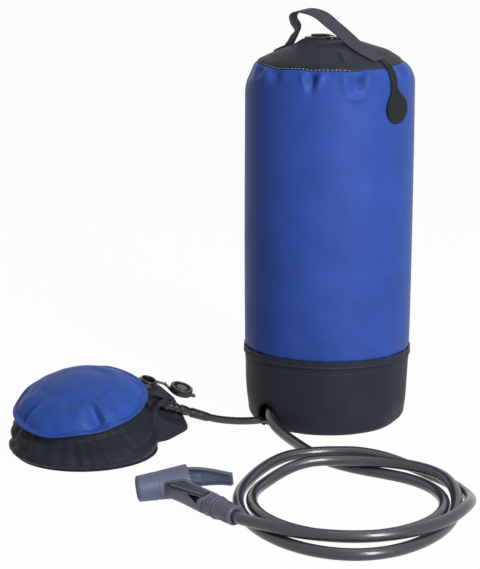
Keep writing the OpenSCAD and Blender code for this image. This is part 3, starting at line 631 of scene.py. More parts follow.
def rib_tree():
    """Upright ribs set round a ring about the Z axis."""
    tree, given = socket_tree("Ring of ribs", {"Ring": FLOAT, "Count": "NodeSocketInt", "Width": FLOAT,
                                               "Depth": FLOAT, "Height": FLOAT, "Material": MATERIAL})
    ring = add(tree, "GeometryNodeCurvePrimitiveCircle", {"Resolution": given.outputs["Count"],
                                                          "Radius": given.outputs["Ring"]})
    spots = add(tree, "GeometryNodeCurveToPoints", {"Curve": ring.outputs[0]}, mode="EVALUATED")
    place = add(tree, "GeometryNodeInputPosition")
    face = add(tree, "FunctionNodeAlignRotationToVector", {"Vector": place.outputs[0]}, axis="X")
    bar = add(tree, "GeometryNodeMeshUVSphere", {"Segments": 8, "Rings": 6, "Radius": 0.5})
    size = add(tree, "ShaderNodeCombineXYZ", {"X": given.outputs["Depth"], "Y": given.outputs["Width"],
                                              "Z": given.outputs["Height"]})
    ribs = add(tree, "GeometryNodeInstanceOnPoints", {
        "Points": spots.outputs["Points"], "Instance": bar.outputs["Mesh"],
        "Rotation": face.outputs[0], "Scale": size.outputs[0]})
    return close_tree(tree, ribs.outputs[0], given.outputs["Material"])


def spring_tree():
    """A wire wound into an open spring along the Z axis."""
    tree, given = socket_tree("Wound spring", {"Turns": FLOAT, "Coil": FLOAT, "Height": FLOAT, "Wire": FLOAT,
                                               "Material": MATERIAL})
    coil = add(tree, "GeometryNodeCurveSpiral", {
        "Resolution": 28, "Rotations": given.outputs["Turns"], "Start Radius": given.outputs["Coil"],
        "End Radius": given.outputs["Coil"], "Height": given.outputs["Height"]})
    ring = add(tree, "GeometryNodeCurvePrimitiveCircle", {"Resolution": 8, "Radius": given.outputs["Wire"]})
    wire = add(tree, "GeometryNodeCurveToMesh", {"Curve": coil.outputs[0], "Profile Curve": ring.outputs[0],
                                                 "Fill Caps": True})
    return close_tree(tree, wire.outputs[0], given.outputs["Material"])


def grown(name, tree, values, line=None):
    """The plain mesh that a geometry tree makes, along a line of points in millimetres where it needs one."""
    mesh = bpy.data.meshes.new(name)
    if line is not None:
        p = (np.asarray(line, float) * MM).tolist()
        mesh.from_pydata(p, [[i, i + 1] for i in range(len(p) - 1)], [])
    obj = stood(name, mesh)
    maker = obj.modifiers.new("Maker", "NODES")
    maker.node_group = tree
    for item in tree.interface.items_tree:
        if item.in_out == "INPUT" and item.name in values:
            maker[item.identifier] = values[item.name]
    settle(obj)
    obj.data.materials.clear()
    obj.data.materials.append(values["Material"])
    obj.data.polygons.foreach_set("material_index", [0] * len(obj.data.polygons))
    return obj


def moved(obj, matrix):
    """Moves an object's own points by a placement in millimetres."""
    obj.data.vertices.foreach_set("co", (put(matrix, points_of(obj)) * MM).ravel())
    obj.data.update()
    return obj


def stitches(name, line, sizes, thread="thread"):
    """A row of stitches along a line."""
    return grown(name, MATERIALS["stitch_tree"], {
        "Spacing": sizes.stitch * 1.45, "Stitch": sizes.stitch, "Thread": sizes.thread,
        "Material": MATERIALS[thread]}, line)


def seat(obj, body, slot, *nodes):
    """Hangs a piece on its body and hides the solids that it stands for; the finish's name, slot, is not used."""
    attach(obj, body)
    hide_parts(*nodes)
    return obj


WATER_LEAD = [[-50, 8, 68], [-50, 8, 58], [-53, -3, 45], [-60, -22, 36], [-66, -44, 28], [-70, -63, 21],
              [-67, -81, 14], [-55, -105, 8], [-40, -138, 6.2], [-27, -168, 6.2], [-13, -194, 6.2],
              [2, -211, 6.2], [19, -225, 6.2], [36, -236, 6.2]]
WATER_TAIL = [[-28, -463, 18.9], [-55, -453, 18.9], [-77, -438, 18.7]]
AIR_RUN = [[-130, -75.5, 17], [-112, -66, 12.5], [-96, -58, 10], [-80, -51, 9.5], [-60, -38, 11],
           [-38, -20, 11], [-17, -1, 15], [0, 17, 27], [9, 28, 45], [10, 30, 58], [10, 30, 68]]
COIL_REACH_X = [101, 96, 113, 110, 127, 112]
COIL_REACH_Y = [96, 104, 94, 150, 124, 137, 137]


def step_through(values, t):
    """Eases from one reach of the coil to the next."""
    i = min(max(math.floor(t), 0), len(values) - 2)
    return values[i] + (values[i + 1] - values[i]) * float(smooth(t - i))


def coil_point(t):
    """A point of the loose coil after t quarter turns; it rises where it crosses over itself."""
    rise = max(smooth((t - 3.3) / 0.55) * smooth((5.4 - t) / 0.7),
               smooth((t - 7.2) / 0.55) * smooth((8.65 - t) / 0.55), smooth((t - 8.85) / 0.45))
    turn = math.radians(90 * t)
    return [2 + step_through(COIL_REACH_X, (t - 1) / 2) * math.sin(turn),
            -330 + step_through(COIL_REACH_Y, t / 2) * math.cos(turn), 6.2 + 12.7 * float(rise)]


def eased(line, least, floor):
    """The same hose line, kept off the floor and with bends tighter than the hose takes drawn wider."""
    p = np.array(line, float)
    for _ in range(400):
        a, b = p[1:-1] - p[:-2], p[2:] - p[1:-1]
        bend = np.linalg.norm(np.cross(a, b), axis=1) / np.linalg.norm(a, axis=1) ** 3
        tight = np.convolve(bend > 1 / least, np.ones(7), "same")[:, None] > 0
        tight[:6], tight[-6:] = False, False
        p[1:-1] += np.where(tight, 0.25 * (b - a), 0)
        p[:, 2] = np.maximum(p[:, 2], floor)
    return p


class SHOWER_OT_hoses(bpy.types.Operator):
    """Lays the coiled water hose from the tank to the handset, and the air hose from the pump to the tank"""
    bl_idname = "shower.hoses"
    bl_label = "Hoses"

    def execute(self, context):
        sizes = context.scene.shower_sizes
        coil = [coil_point(t) for t in np.linspace(0.35, 10, 68)]
        into_handset = [put(HANDLE, (s, 0, 0)) for s in (129, 115, 101)]
        water = eased(evenly(through(WATER_LEAD + coil + WATER_TAIL + into_handset, 8), 4), 50, 6.15)
        from_pump = [put(CONNECTOR, (s, 0, 0)) for s in (33, 43, 55)]
        air = eased(evenly(through(from_pump + AIR_RUN, 8), 4), 38, 4.7)
        hose = grown("water_hose", MATERIALS["tube_tree"], {
            "Radius": sizes.water_hose / 2, "Material": MATERIALS["hose"]}, water)
        seat(hose, "shower", "hose_pvc", "water_hose_lead", "water_hose_coil", "water_hose_tail")
        pipe = grown("air_hose_line", MATERIALS["tube_tree"], {
            "Radius": sizes.air_hose / 2, "Material": MATERIALS["air_hose"]}, air)
        seat(pipe, "shower", "hose_pvc", "air_hose")
        return {"FINISHED"}


def handle_section(width, thick, square):
    """The handle's section, from boxy by the barrel to round by the coupling."""
    q = np.arange(44) / 44 * TURN
    c, s = np.cos(q), np.sin(q)
    return np.stack([0.5 * width * np.sign(c) * np.abs(c) ** square,
                     0.5 * thick * np.sign(s) * np.abs(s) ** square], axis=1)


HANDLE_RUN = [7, 12, 20, 30, 40, 50, 60, 68, 71, 72.4, 73.4, 74]
HANDLE_WIDE = [24, 24, 23.5, 23, 23, 23.5, 24.3, 24.8, 24.8, 24.2, 22.6, 19]
HANDLE_THICK = [18, 18, 18, 18, 18, 18.4, 19, 19.6, 19.6, 19.2, 18, 15]
HANDLE_SQUARE = [0.42, 0.42, 0.45, 0.5, 0.54, 0.58, 0.64, 0.7, 0.7, 0.72, 0.75, 0.8]


def on_handle(s, turn, proud=0.0):
    """A point of the handle's skin, at a length along it and a turn in degrees from its back edge over the top."""
    half = np.interp(s, HANDLE_RUN, HANDLE_WIDE) / 2 + proud
    deep = np.interp(s, HANDLE_RUN, HANDLE_THICK) / 2 + proud
    square = np.interp(s, HANDLE_RUN, HANDLE_SQUARE)
    c, h = np.cos(np.radians(turn)), np.sin(np.radians(turn))
    across = half * np.sign(c) * np.abs(c) ** square
    return put(HANDLE, np.stack([s + 0 * c, across, deep * np.abs(h) ** square], axis=-1))


class SHOWER_OT_handset(bpy.types.Operator):
    """Makes the spray handset: barrel, spray plate, handle, lever, coupling and hose sleeve"""
    bl_idname = "shower.handset"
    bl_label = "Spray handset"

    def execute(self, context):
        self.make_barrel()
        self.make_handle()
        self.make_lever()
        self.make_coupling()
        return {"FINISHED"}

    def make_barrel(self):
        """The tapered barrel with its spray plate, and the spring inside it."""
        gun_x = GUN @ ALONG_X
        barrel = lathe("spray_barrel", [
            (11.9, -33), (13.0, -32.4), (13.6, -31), (13.8, -28), (14.8, -12.4), (14.45, -12.1), (14.45, -11.2),
            (14.9, -10.9), (17.4, 20.2), (17.0, 21.2), (16.0, 21.2), (15.2, 14), (2.5, 14), (2.5, 10), (6, 10),
            (6, -22), (4.5, -22), (4.5, -25), (11.6, -25), (11.6, -32.8)], gun_x, "handset", radius=0.7, segments=80)
        for side in (-1, 1):
            lug = outline_plate("lug", capsule_outline((12, 6), (19, 9), 6.5, 5), side * 6.5 - 1.5,
                                side * 6.5 + 1.5, GUN, "handset", edge=0.6)
            boolean(barrel, lug, "UNION")
        crisp(barrel, 40)
        seat(barrel, "shower", "grey_plastic", "spray_head")
        profile = [(0, -32.4), (8, -32.2), (9.8, -31.8), (9.8, -26), (0, -26)]
        plate = lathe("spray_plate", profile, gun_x, "handset", radius=0.6, closed=False, segments=48)
        jets = grown("jets", MATERIALS["jet_tree"], {"Pitch": 2.6 * MM, "Bead": 0.8 * MM,
                                                     "Material": MATERIALS["seal"]})
        join(plate, moved(jets, gun_x @ turned((0, 0, -32.1))))
        seat(plate, "shower", "dark_plastic", "spray_face")
        ring = lathe("spray_ring", [(9.9, -32.6), (11.5, -32.6), (11.5, -29), (9.9, -29)], gun_x, "handset",
                     radius=0.5, segments=56)
        seat(ring, "shower", "dark_plastic", "face_ring")
        spring = grown("stem_spring", MATERIALS["spring_tree"], {
            "Turns": 5.0, "Coil": 4.6 * MM, "Height": 12.6 * MM, "Wire": 0.6 * MM, "Material": MATERIALS["steel"]})
        moved(spring, gun_x @ turned((0, 0, -19.5)))
        seat(spring, "shower", "steel", "valve_spring")
        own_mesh(spring)

    def make_handle(self):
        """The handle with its bead edges, its dark grip inlay and the three-cornered recess by the coupling."""
        rows = np.array([np.column_stack([np.full(44, x), handle_section(w, t, q)]) for x, w, t, q in
                         zip(HANDLE_RUN, HANDLE_WIDE, HANDLE_THICK, HANDLE_SQUARE)])
        handle = grid("spray_handle", put(HANDLE, rows.reshape(-1, 3)).reshape(rows.shape), "handset",
                      start_cap=True, end_cap=True)
        tidy(handle)
        shoulder = HANDLE @ turned((0, -9.2, 6.2), x=45)
        corner = rounded([(46, 0.6), (66.5, -5.4), (70.5, 5.6)], 1.6, True)
        pocket = outline_plate("pocket", corner, -3.5, 12, shoulder, "inlay", edge=0.15)
        boolean(handle, pocket, "DIFFERENCE")
        crisp(handle, 40)
        join(handle, outline_plate("pocket_floor", corner, -4.2, -3.2, shoulder, "inlay", edge=0.15))

        s = np.linspace(15, 71, 44)
        middle = np.interp(s, [15, 24, 40, 60, 71], [138, 123, 113, 105, 101])
        half = np.interp(s, [15, 24, 40, 60, 71], [22, 33, 30, 22, 18]) * np.sqrt(smooth((s - 13.5) / 11))
        across = np.linspace(-1, 1, 17)
        turn = middle[:, None] + half[:, None] * across[None]
        inlay = grid("grip_inlay", on_handle(s[:, None], turn, 0.3), "inlay", wrap=False, flip=True)
        thicken(inlay, 0.9)
        seat(inlay, "shower", "dark_plastic", "handle_inlay")
        upper = on_handle(s, middle - half, 0.35)
        lower = on_handle(s, middle + half, 0.35)
        ridge = on_handle(s[4:], middle[4:] + 5, 0.5)
        rim = np.vstack([upper[::-1], lower])
        for name, line, wide, tall in (("rim", rim, 0.6, 0.6), ("ridge", ridge, 1.1, 1.0)):
            bead = [[tall * math.cos(q), wide * math.sin(q)] for q in np.linspace(0, TURN, 10, endpoint=False)]
            line = evenly(through(line[::2], 3), 1.0)
            join(handle, sweep(name, line, np.tile(HANDLE[:3, 2], (len(line), 1)), bead, "handset", uv=False))
        seat(handle, "shower", "grey_plastic", "gun_handle")

    def make_lever(self):
        """The squeeze lever: a bent plate with folded edges, a boss for its pin and a toe on the stem."""
        steps = 36
        bow_x, bow_y = 1.1, -75.3
        a = np.radians(np.linspace(43.4, 76.0, steps))
        t = np.linspace(0, 1, steps)
        half = 6.6 + 3.8 * smooth(t / 0.95)

        def strip(name, reach, level, wide, tall):
            path = np.column_stack([bow_x + reach * np.cos(a), bow_y + reach * np.sin(a), level])
            corners = np.array([(-1, -1), (1, -1), (1, 1), (-1, 1)])
            sections = np.array([rounded(corners * (w, tall), 0.5, True) for w in wide])
            return sweep(name, put(GUN, path), np.tile(GUN[:3, 2], (steps, 1)), sections, "handset", uv=False)

        lever = strip("spray_lever", 88.2, 0 * a, half, 1.2)
        for side in (-1, 1):
            join(lever, strip("fold", 86.2, side * (half - 0.9), 0 * a + 0.9, 2.2))
        boss = outline_plate("boss", capsule_outline((19, 9), (33, 5.2), 4.2, 3.6), -4.7, 4.7, GUN, "handset")
        toe = outline_plate("toe", capsule_outline((19, 9), (23.0, -0.6), 2.6, 2.4), -3.0, 3.0, GUN, "handset")
        join(lever, boss, toe)
        crisp(lever, 40)
        seat(lever, "lever", "grey_plastic", "trigger")

    def make_coupling(self):
        """The fluted coupling nut, the sleeve that holds the hose, and a dark ring of painted shade in the gap before
        the nut.
        """
        at_nut = HANDLE @ ALONG_X
        nut = lathe("coupling_grip", [
            (8.1, 74.6), (10.9, 74.6), (12.0, 75.4), (12.1, 76.6), (11.3, 77.4), (11.3, 86.2), (12.1, 86.8),
            (12.1, 88), (11.4, 88.7), (8.1, 88.7)], at_nut, "nut", radius=0.4, segments=72)
        sleeve = lathe("hose_sleeve", [
            (6.15, 116), (6.15, 101), (3.6, 101), (3.6, 80), (7.9, 80), (7.9, 89.2), (10.9, 89.2), (11.5, 90),
            (11.5, 91.4), (10.8, 92.2), (9.5, 111), (9.5, 111.8), (10.1, 112.4), (10.1, 115), (9.4, 116),
            (7.2, 116.2)], at_nut, "nut", radius=0.5, segments=64)
        # The dark ring in the seal's rubber before the nut is painted shade: it stands for the shadow in the gap
        # between handle and nut.
        join(sleeve, lathe("painted_gap_shade_ring", [(8.0, 73.6), (10.6, 73.6), (10.6, 74.9), (8.0, 74.9)], at_nut, "seal",
                           radius=0.2, segments=48))
        for part, ring, count, level, tall in ((nut, 10.7, 14, 81.8, 10.5), (sleeve, 9.5, 12, 101.5, 20)):
            flutes = grown("flutes", MATERIALS["rib_tree"], {
                "Ring": ring * MM, "Count": count, "Width": 3.4 * MM, "Depth": 2.4 * MM, "Height": tall * MM,
                "Material": MATERIALS["nut"]})
            join(part, moved(flutes, at_nut @ turned((0, 0, level))))
        seat(nut, "nut", "grey_plastic", "coupling_nut")
        seat(sleeve, "shower", "grey_plastic", "hose_collar")


def jet_tree():
    """Spray nubs in three rings about the Z axis."""
    tree, given = socket_tree("Rings of jets", {"Pitch": FLOAT, "Bead": FLOAT, "Material": MATERIAL})
    rings = add(tree, "GeometryNodeJoinGeometry")
    for k in (1, 2, 3):
        reach = add(tree, "ShaderNodeMath", {0: given.outputs["Pitch"], 1: float(k)}, operation="MULTIPLY")
        ring = add(tree, "GeometryNodeCurvePrimitiveCircle", {"Resolution": 6 * k, "Radius": reach.outputs[0]})
        tree.links.new(ring.outputs[0], rings.inputs[0])
    spots = add(tree, "GeometryNodeCurveToPoints", {"Curve": rings.outputs[0]}, mode="EVALUATED")
    nub = add(tree, "GeometryNodeMeshUVSphere", {"Segments": 8, "Rings": 4, "Radius": given.outputs["Bead"]})
    jets = add(tree, "GeometryNodeInstanceOnPoints", {"Points": spots.outputs["Points"],
                                                      "Instance": nub.outputs["Mesh"]})
    return close_tree(tree, jets.outputs[0], given.outputs["Material"])


class SHOWER_OT_finishes(bpy.types.Operator):
    """Makes the materials and the trees for stitches, ribs, hoses, spring and jets"""
    bl_idname = "shower.finishes"
    bl_label = "Finishes"

    def execute(self, context):
        make_materials(context.scene.shower_colours)
        MATERIALS.update(stitch_tree=stitch_tree(), tube_tree=tube_tree(), rib_tree=rib_tree(),
                         spring_tree=spring_tree(), jet_tree=jet_tree())
        return {"FINISHED"}


# The top panel's seam: bearing, and how many degrees up the shoulder's rounding it lies.
TOP_SEAM = [(-180, 60), (-168, 55), (-158.5, 52.5), (-151, 51), (-144, 47), (-137.5, 42), (-128.5, 41.5),
            (-119.5, 43), (-107, 40.3), (-97.5, 40), (-88.5, 40), (-77.5, 38), (-69.5, 42), (-57.5, 45.5),
            (-48, 44), (-40.5, 51), (-10, 59.5), (30, 60), (90, 52), (135, 55), (180, 60)]
# Puckers under the top seam: bearing, depth, half width and length in mm, and how sharp the fold is.
PUCKERS = [(-105.5, 12.0, 6.5, 34, 1), (-75.5, 10.0, 7.5, 34, 0), (-133, 6.0, 8.0, 26, 0), (-152, 5.0, 8.0, 24, 0),
           (-93, 1.8, 4.0, 15, 0), (-60, 3.0, 6.0, 19, 0), (-34, 4.6, 8.0, 24, 0), (-3, 4.2, 8.0, 26, 1),
           (26, 3.0, 9.0, 22, 0), (54, 4.4, 7.5, 26, 1), (83, 3.2, 9.0, 24, 0), (109, 4.2, 7.0, 26, 0),
           (135, 2.6, 8.0, 20, 0), (161, 4.2, 7.0, 25, 1)]
# Cloth up the tank's side and over its shoulder, then the cone above it and the flat crown that the cone eases into.
SIDE = SHOULDER_Z - BASE_H
ARC_TURN = math.radians(66)
ARC = SHOULDER_R * ARC_TURN
SLOPE = math.radians(24)
CONE_R, CONE_Z = 82.2, 436.4
CROWN_R, CROWN_EASE = 29, 25


def seam_height(az):
    """Length up the tank's side at which the top panel is sewn on, on that bearing."""
    fine = np.arange(-180, 180)
    bearing, level = zip(*TOP_SEAM)
    rough = np.interp(fine, bearing, level)
    kernel = hump(np.arange(-18, 19), 0, 5)
    soft = np.convolve(np.concatenate([rough[-18:], rough, rough[:18]]), kernel / kernel.sum(), "valid")
    return SIDE + SHOULDER_R * np.radians(np.interp(az, fine, soft, period=360))


def dome(r):
    """Height of the tank's top at a radius: a cone that eases into the flat crown."""
    r = np.asarray(r, float)
    cone = CONE_Z + (CONE_R - r) * math.tan(SLOPE)
    t = np.clip((r - CROWN_R) / CROWN_EASE, 0, 1)
    low = CONE_Z + (CONE_R - CROWN_R - CROWN_EASE) * math.tan(SLOPE)
    bend = CROWN_Z + (3 * t ** 2 - 2 * t ** 3) * (low - CROWN_Z) - CROWN_EASE * math.tan(SLOPE) * (t ** 3 - t ** 2)
    return np.where(r > CROWN_R + CROWN_EASE, cone, bend)


def tank_skin(az, s, proud=0.0):
    """Points of the filled tank's cloth on a bearing, at a length up its side from the base seam."""
    az, s = np.broadcast_arrays(np.asarray(az, float), np.asarray(s, float))
    a = np.clip((s - SIDE) / SHOULDER_R, 0, ARC_TURN)
    over = np.maximum(s - SIDE - ARC, 0)
    top = over > 0
    side_r = np.where(s < SIDE, TANK_R, TANK_R - SHOULDER_R + SHOULDER_R * np.cos(a))
    side_z = np.where(s < SIDE, BASE_H + s, SHOULDER_Z + SHOULDER_R * np.sin(a))
    r = np.where(top, np.maximum(CONE_R - over * math.cos(SLOPE), 0), side_r)
    z = np.where(top, dome(r), side_z)
    fall = (dome(r + 0.5) - dome(np.maximum(r - 0.5, 0))) / np.where(r < 0.5, 0.5 + r, 1.0)
    nr = np.where(top, -fall / np.hypot(fall, 1), np.cos(a))
    nz = np.where(top, 1 / np.hypot(fall, 1), np.sin(a))
    below = seam_height(az) - s
    push = np.zeros(s.shape)
    for middle, deep, half, long, sharp in PUCKERS:
        x = np.radians(angle_from(az, middle)) * 88 / half
        x = x * (1 + (0.9 if sharp else 0.25) * np.clip(below / long, 0, 1))
        dip = np.exp(-np.abs(x) ** 1.25) if sharp else np.exp(-x * x)
        side = np.exp(-(np.abs(x) - 1.7) ** 2 / 0.5)
        fade = np.where(below > 0, 1 - smooth(below / long), np.exp(below / 7.0)) * smooth((below + 30) / 12)
        grow = 0.12 + 0.88 * smooth(below / 11)
        push += (0.34 * side - dip) * deep * fade * np.where(below > 0, grow, 0.12)
    u = np.radians(az)
    # The cloth is drawn in at the left shoulder, hangs in a lip under the round pucker and rises to the filler.
    push -= 6.0 * hump(angle_from(az, -176), 0, 17) * hump(s, SIDE + 13, 12)
    push += 2.4 * hump(below, 33, 3.5) * hump(angle_from(az, -75.5), 0, 4.5)
    from_filler = np.hypot(r * np.cos(u) + 11, r * np.sin(u))
    rear = hump(angle_from(np.degrees(np.arctan2(r * np.sin(u), r * np.cos(u) + 11)), 25), 0, 55)
    push += top * (3.0 * smooth((31 - from_filler) / 15) * (1 - rear) - 1.2 * hump(r, 46, 12) * (1 - rear))
    belly = np.sin(math.pi * np.clip(s / 345, 0, 1))
    push += belly * (0.7 + 0.35 * np.cos(3 * u + 0.6) + 0.25 * np.cos(5 * u + 2 + s / 90))
    foot = np.exp(-s / 7.0)
    push += foot * (0.35 * np.cos(31 * u + 0.4) + 0.3 * np.cos(17 * u + 1.3) - 0.5)
    push += 3.0 * hump(r, 66, 16) * hump(angle_from(az, 0), 0, 34) * top
    fold = np.radians(angle_from(az, -81)) * np.maximum(r, 1)
    push += top * 3.2 * np.exp(-np.abs(fold + 1.5) / 3.0) * smooth((r - 52) / 14) * smooth((fold + 9) / 9)
    push -= 0.8 * np.exp(-(below / 1.6) ** 2)
    push = push + proud
    rr = r + push * nr
    return np.stack([rr * np.cos(u), rr * np.sin(u), z + push * nz], axis=-1)


class SHOWER_OT_tank(bpy.types.Operator):
    """Makes the tank's sleeve, its top panel with the sewn seam, and its floor"""
    bl_idname = "shower.tank"
    bl_label = "Water tank"

    def execute(self, context):
        sizes = context.scene.shower_sizes
        az = bearings(300)
        seam = seam_height(az)[None]
        # Rows lie 1 mm apart over the last stretch below the seam, where the puckers are.
        fine = 46
        low = np.linspace(0, 1, 70)[:, None] * (seam - fine)
        high = seam - fine + np.arange(1, fine + 4)[:, None]
        rise = np.vstack([low, high])
        flat_az = np.append(az, 180.0)
        flat_rise = np.hstack([rise, rise[:, :1]])
        cloth = np.stack([np.radians(np.broadcast_to(flat_az, flat_rise.shape)) * TANK_R, flat_rise], axis=-1)
        sleeve = grid("tank_cloth", tank_skin(az[None], rise), "tank", uv=cloth)
        thicken(sleeve, 0.9)
        seat(sleeve, "shower", "blue_cloth", "tank_sleeve")

        to_crown = SIDE + ARC + CONE_R / math.cos(SLOPE)
        edge = 20 / 70
        k = np.concatenate([np.arange(20) / 70, edge + np.arange(1, 34) / 33 * (1 - edge)])[:, None]
        up = seam - 0.4 + k * (to_crown - 2.5 - seam + 0.4)
        panel_points = tank_skin(az[None], up, 0.75)
        # The panel is cut from flat cloth, so its weave runs straight across it.
        closed = np.concatenate([panel_points, panel_points[:, :1]], axis=1)
        panel = grid("top_cloth", panel_points, "black", uv=closed[..., :2] * 1.05, end_cap=True)
        thicken(panel, 0.9)
        rows = []
        for first, last, below, thread in ((-157, -80, -0.5, "thread"), (-80, 203, -0.5, "dull_thread"),
                                           (-112, -62, 13.5, "dull_thread")):
            span = np.linspace(first, last, int((last - first) * 1.5))
            line = tank_skin(span, seam_height(span) - below, 0.95 if below < 0 else 0.2)
            rows.append(stitches("seam_row", line, sizes, thread))
        join(panel, *rows)
        seat(panel, "shower", "black_cloth", "top_panel")
        profile = [(0, 95.4), (60, 95.3), (97, 95.2), (98.6, 96.5), (98.6, 93.5), (60, 94), (0, 94)]
        floor = lathe("tank_bottom", profile, turned((0, 0, 0)), "tank", radius=0.6, closed=False, segments=96)
        seat(floor, "shower", "blue_cloth", "tank_floor")
        return {"FINISHED"}


# Dents of the base: bearing, height, depth, half width in degrees, half height.
DENTS = [(-28, 8, 5.0, 17, 13), (-62, 6, 1.8, 12, 9), (-88, 10, 1.4, 14, 10), (-118, 8, 1.6, 9, 12),
         (-168, 12, 2.0, 14, 14), (20, 10, 2.5, 16, 14), (75, 9, 2.0, 15, 12), (120, 11, 2.4, 14, 14),
         (158, 8, 1.8, 10, 10)]
# The cut-out for the hoses: its bearing, half its width, and the height at which its arch starts.
CUT_AZ, CUT_HALF, CUT_RISE = -140.5, 18.5, 15.5


def base_skin(az, v):
    """Points of the base's cloth on a bearing, at a length up it from the floor's edge."""
    az, v = np.broadcast_arrays(np.asarray(az, float), np.asarray(v, float))
    a = np.clip(v / BASE_EDGE, 0, math.pi / 2) - math.pi / 2
    foot, wall = BASE_FLOOR_R + BASE_EDGE, BASE_H - BASE_EDGE
    up = np.maximum(v - BASE_BEND, 0) / wall
    r = np.where(v < BASE_BEND, BASE_FLOOR_R + BASE_EDGE * np.cos(a), foot + (TANK_R - foot) * up)
    z = np.where(v < BASE_BEND, BASE_EDGE + BASE_EDGE * np.sin(a), BASE_EDGE + wall * up)
    u = np.radians(az)
    push = np.zeros(v.shape)
    for middle, level, deep, wide, tall in DENTS:
        push -= deep * hump(angle_from(az, middle), 0, wide) * hump(z, level, tall)
    push += hump(z, 46, 26) * (0.6 * np.cos(4 * u + 0.5) + 0.4 * np.cos(7 * u + 2.1 + z / 30))
    push += np.exp(-(BASE_H - z) / 7.0) * (0.25 * np.cos(37 * u) + 0.2 * np.cos(23 * u + 1))
    push *= smooth(v / 6)
    return np.stack([(r + push) * np.cos(u), (r + push) * np.sin(u), z], axis=-1)


class SHOWER_OT_base(bpy.types.Operator):
    """Makes the base with its hose cut-out, bound edge, hem and floor"""
    bl_idname = "shower.base"
    bl_label = "Base"

    def execute(self, context):
        self.make_sleeve()
        self.make_hem(context.scene.shower_sizes)
        profile = [(0, 0.2), (60, 0.15), (82, 0.1), (84.4, 0.3), (84.4, 1.4), (82, 1.7), (0, 1.8)]
        floor = lathe("base_bottom", profile, turned((0, 0, 0)), "black", radius=0.4, closed=False, segments=96)
        seat(floor, "shower", "black_cloth", "base_floor")
        return {"FINISHED"}

    def make_sleeve(self):
        """The cloth round the base, cut out for the hoses, with tape round the cut edge."""
        az = bearings(260)
        v = np.linspace(0, BASE_BEND + (BASE_H - BASE_EDGE), 52)[:, None]
        flat_az = np.append(az, 180.0)
        cloth = np.stack(np.broadcast_arrays(np.radians(flat_az)[None] * TANK_R, v), axis=-1)
        sleeve = grid("base_cloth", base_skin(az[None], v), "black", uv=cloth)
        thicken(sleeve, 1.5)
        arch = [(-CUT_HALF, -6), (CUT_HALF, -6)]
        arch += [(CUT_HALF * math.cos(q), CUT_RISE + CUT_HALF * math.sin(q)) for q in np.linspace(0, math.pi, 25)]
        across = turned((0, 0, 0), z=CUT_AZ) @ turned((0, 0, 0), 90, 0, 90)
        boolean(sleeve, outline_plate("arch", arch, 50, 130, across, "black", edge=0.01), "DIFFERENCE")
        crisp(sleeve, 50)
        edge = []
        up = [(-CUT_HALF, 0.6 + 1.5 * i) for i in range(10)]
        down = [(CUT_HALF, 15 - 1.5 * i) for i in range(1, 10)]
        for x, y in up + arch[:1:-1] + down:
            bearing = CUT_AZ + math.degrees(math.asin(x / 98))
            bent = BASE_EDGE * math.acos(min(1, max(-1, 1 - y / BASE_EDGE)))
            edge.append(base_skin(bearing, bent if y < BASE_EDGE else BASE_BEND + (y - BASE_EDGE)))
        path = evenly(through(np.array(edge)[::2], 3), 2)
        out = np.column_stack([path[:, 0], path[:, 1], 0 * path[:, 0]])
        tape = [[1.5 * math.cos(q) - 0.5, 2.4 * math.sin(q)] for q in np.linspace(0, TURN, 14, endpoint=False)]
        binding = sweep("cutout_tape", path, out, tape, "binding")
        seat(sleeve, "shower", "black_cloth", "base_sleeve")
        seat(binding, "shower", "black_cloth", "cutout_binding")

    def make_hem(self, sizes):
        """The band at the base's top seam, with its two rows of stitches."""
        ring = np.arange(241) / 240 * 360 - 180

        def band(level, proud):
            p = base_skin(ring, BASE_BEND + level - BASE_EDGE)
            reach = np.linalg.norm(p[:, :2], axis=1, keepdims=True)
            return np.column_stack([p[:, :2] * (reach + proud) / reach, p[:, 2]])

        profile = [(84.2, -0.3), (83.6, 0.9), (84.2, 1.7), (85.4, 1.6), (86.4, 1.15), (90.5, 1.1), (92, 1.2),
                   (92.8, 0.9), (92.8, -0.6)]
        rows = np.array([band(level, proud)[:-1] for level, proud in profile])
        run = np.concatenate([[0], np.cumsum(np.hypot(*np.diff(np.array(profile), axis=0).T))])
        flat = np.stack(np.broadcast_arrays(np.radians(ring)[None] * TANK_R, run[:, None]), axis=-1)
        hem = grid("base_band", rows, "black", uv=flat)
        thicken(hem, 0.8)
        join(hem, stitches("hem_row", band(86.0, 1.6), sizes, "dull_thread"),
             stitches("hem_row", band(77.5, 0.25), sizes, "dull_thread"))
        seat(hem, "shower", "black_cloth", "base_hem")


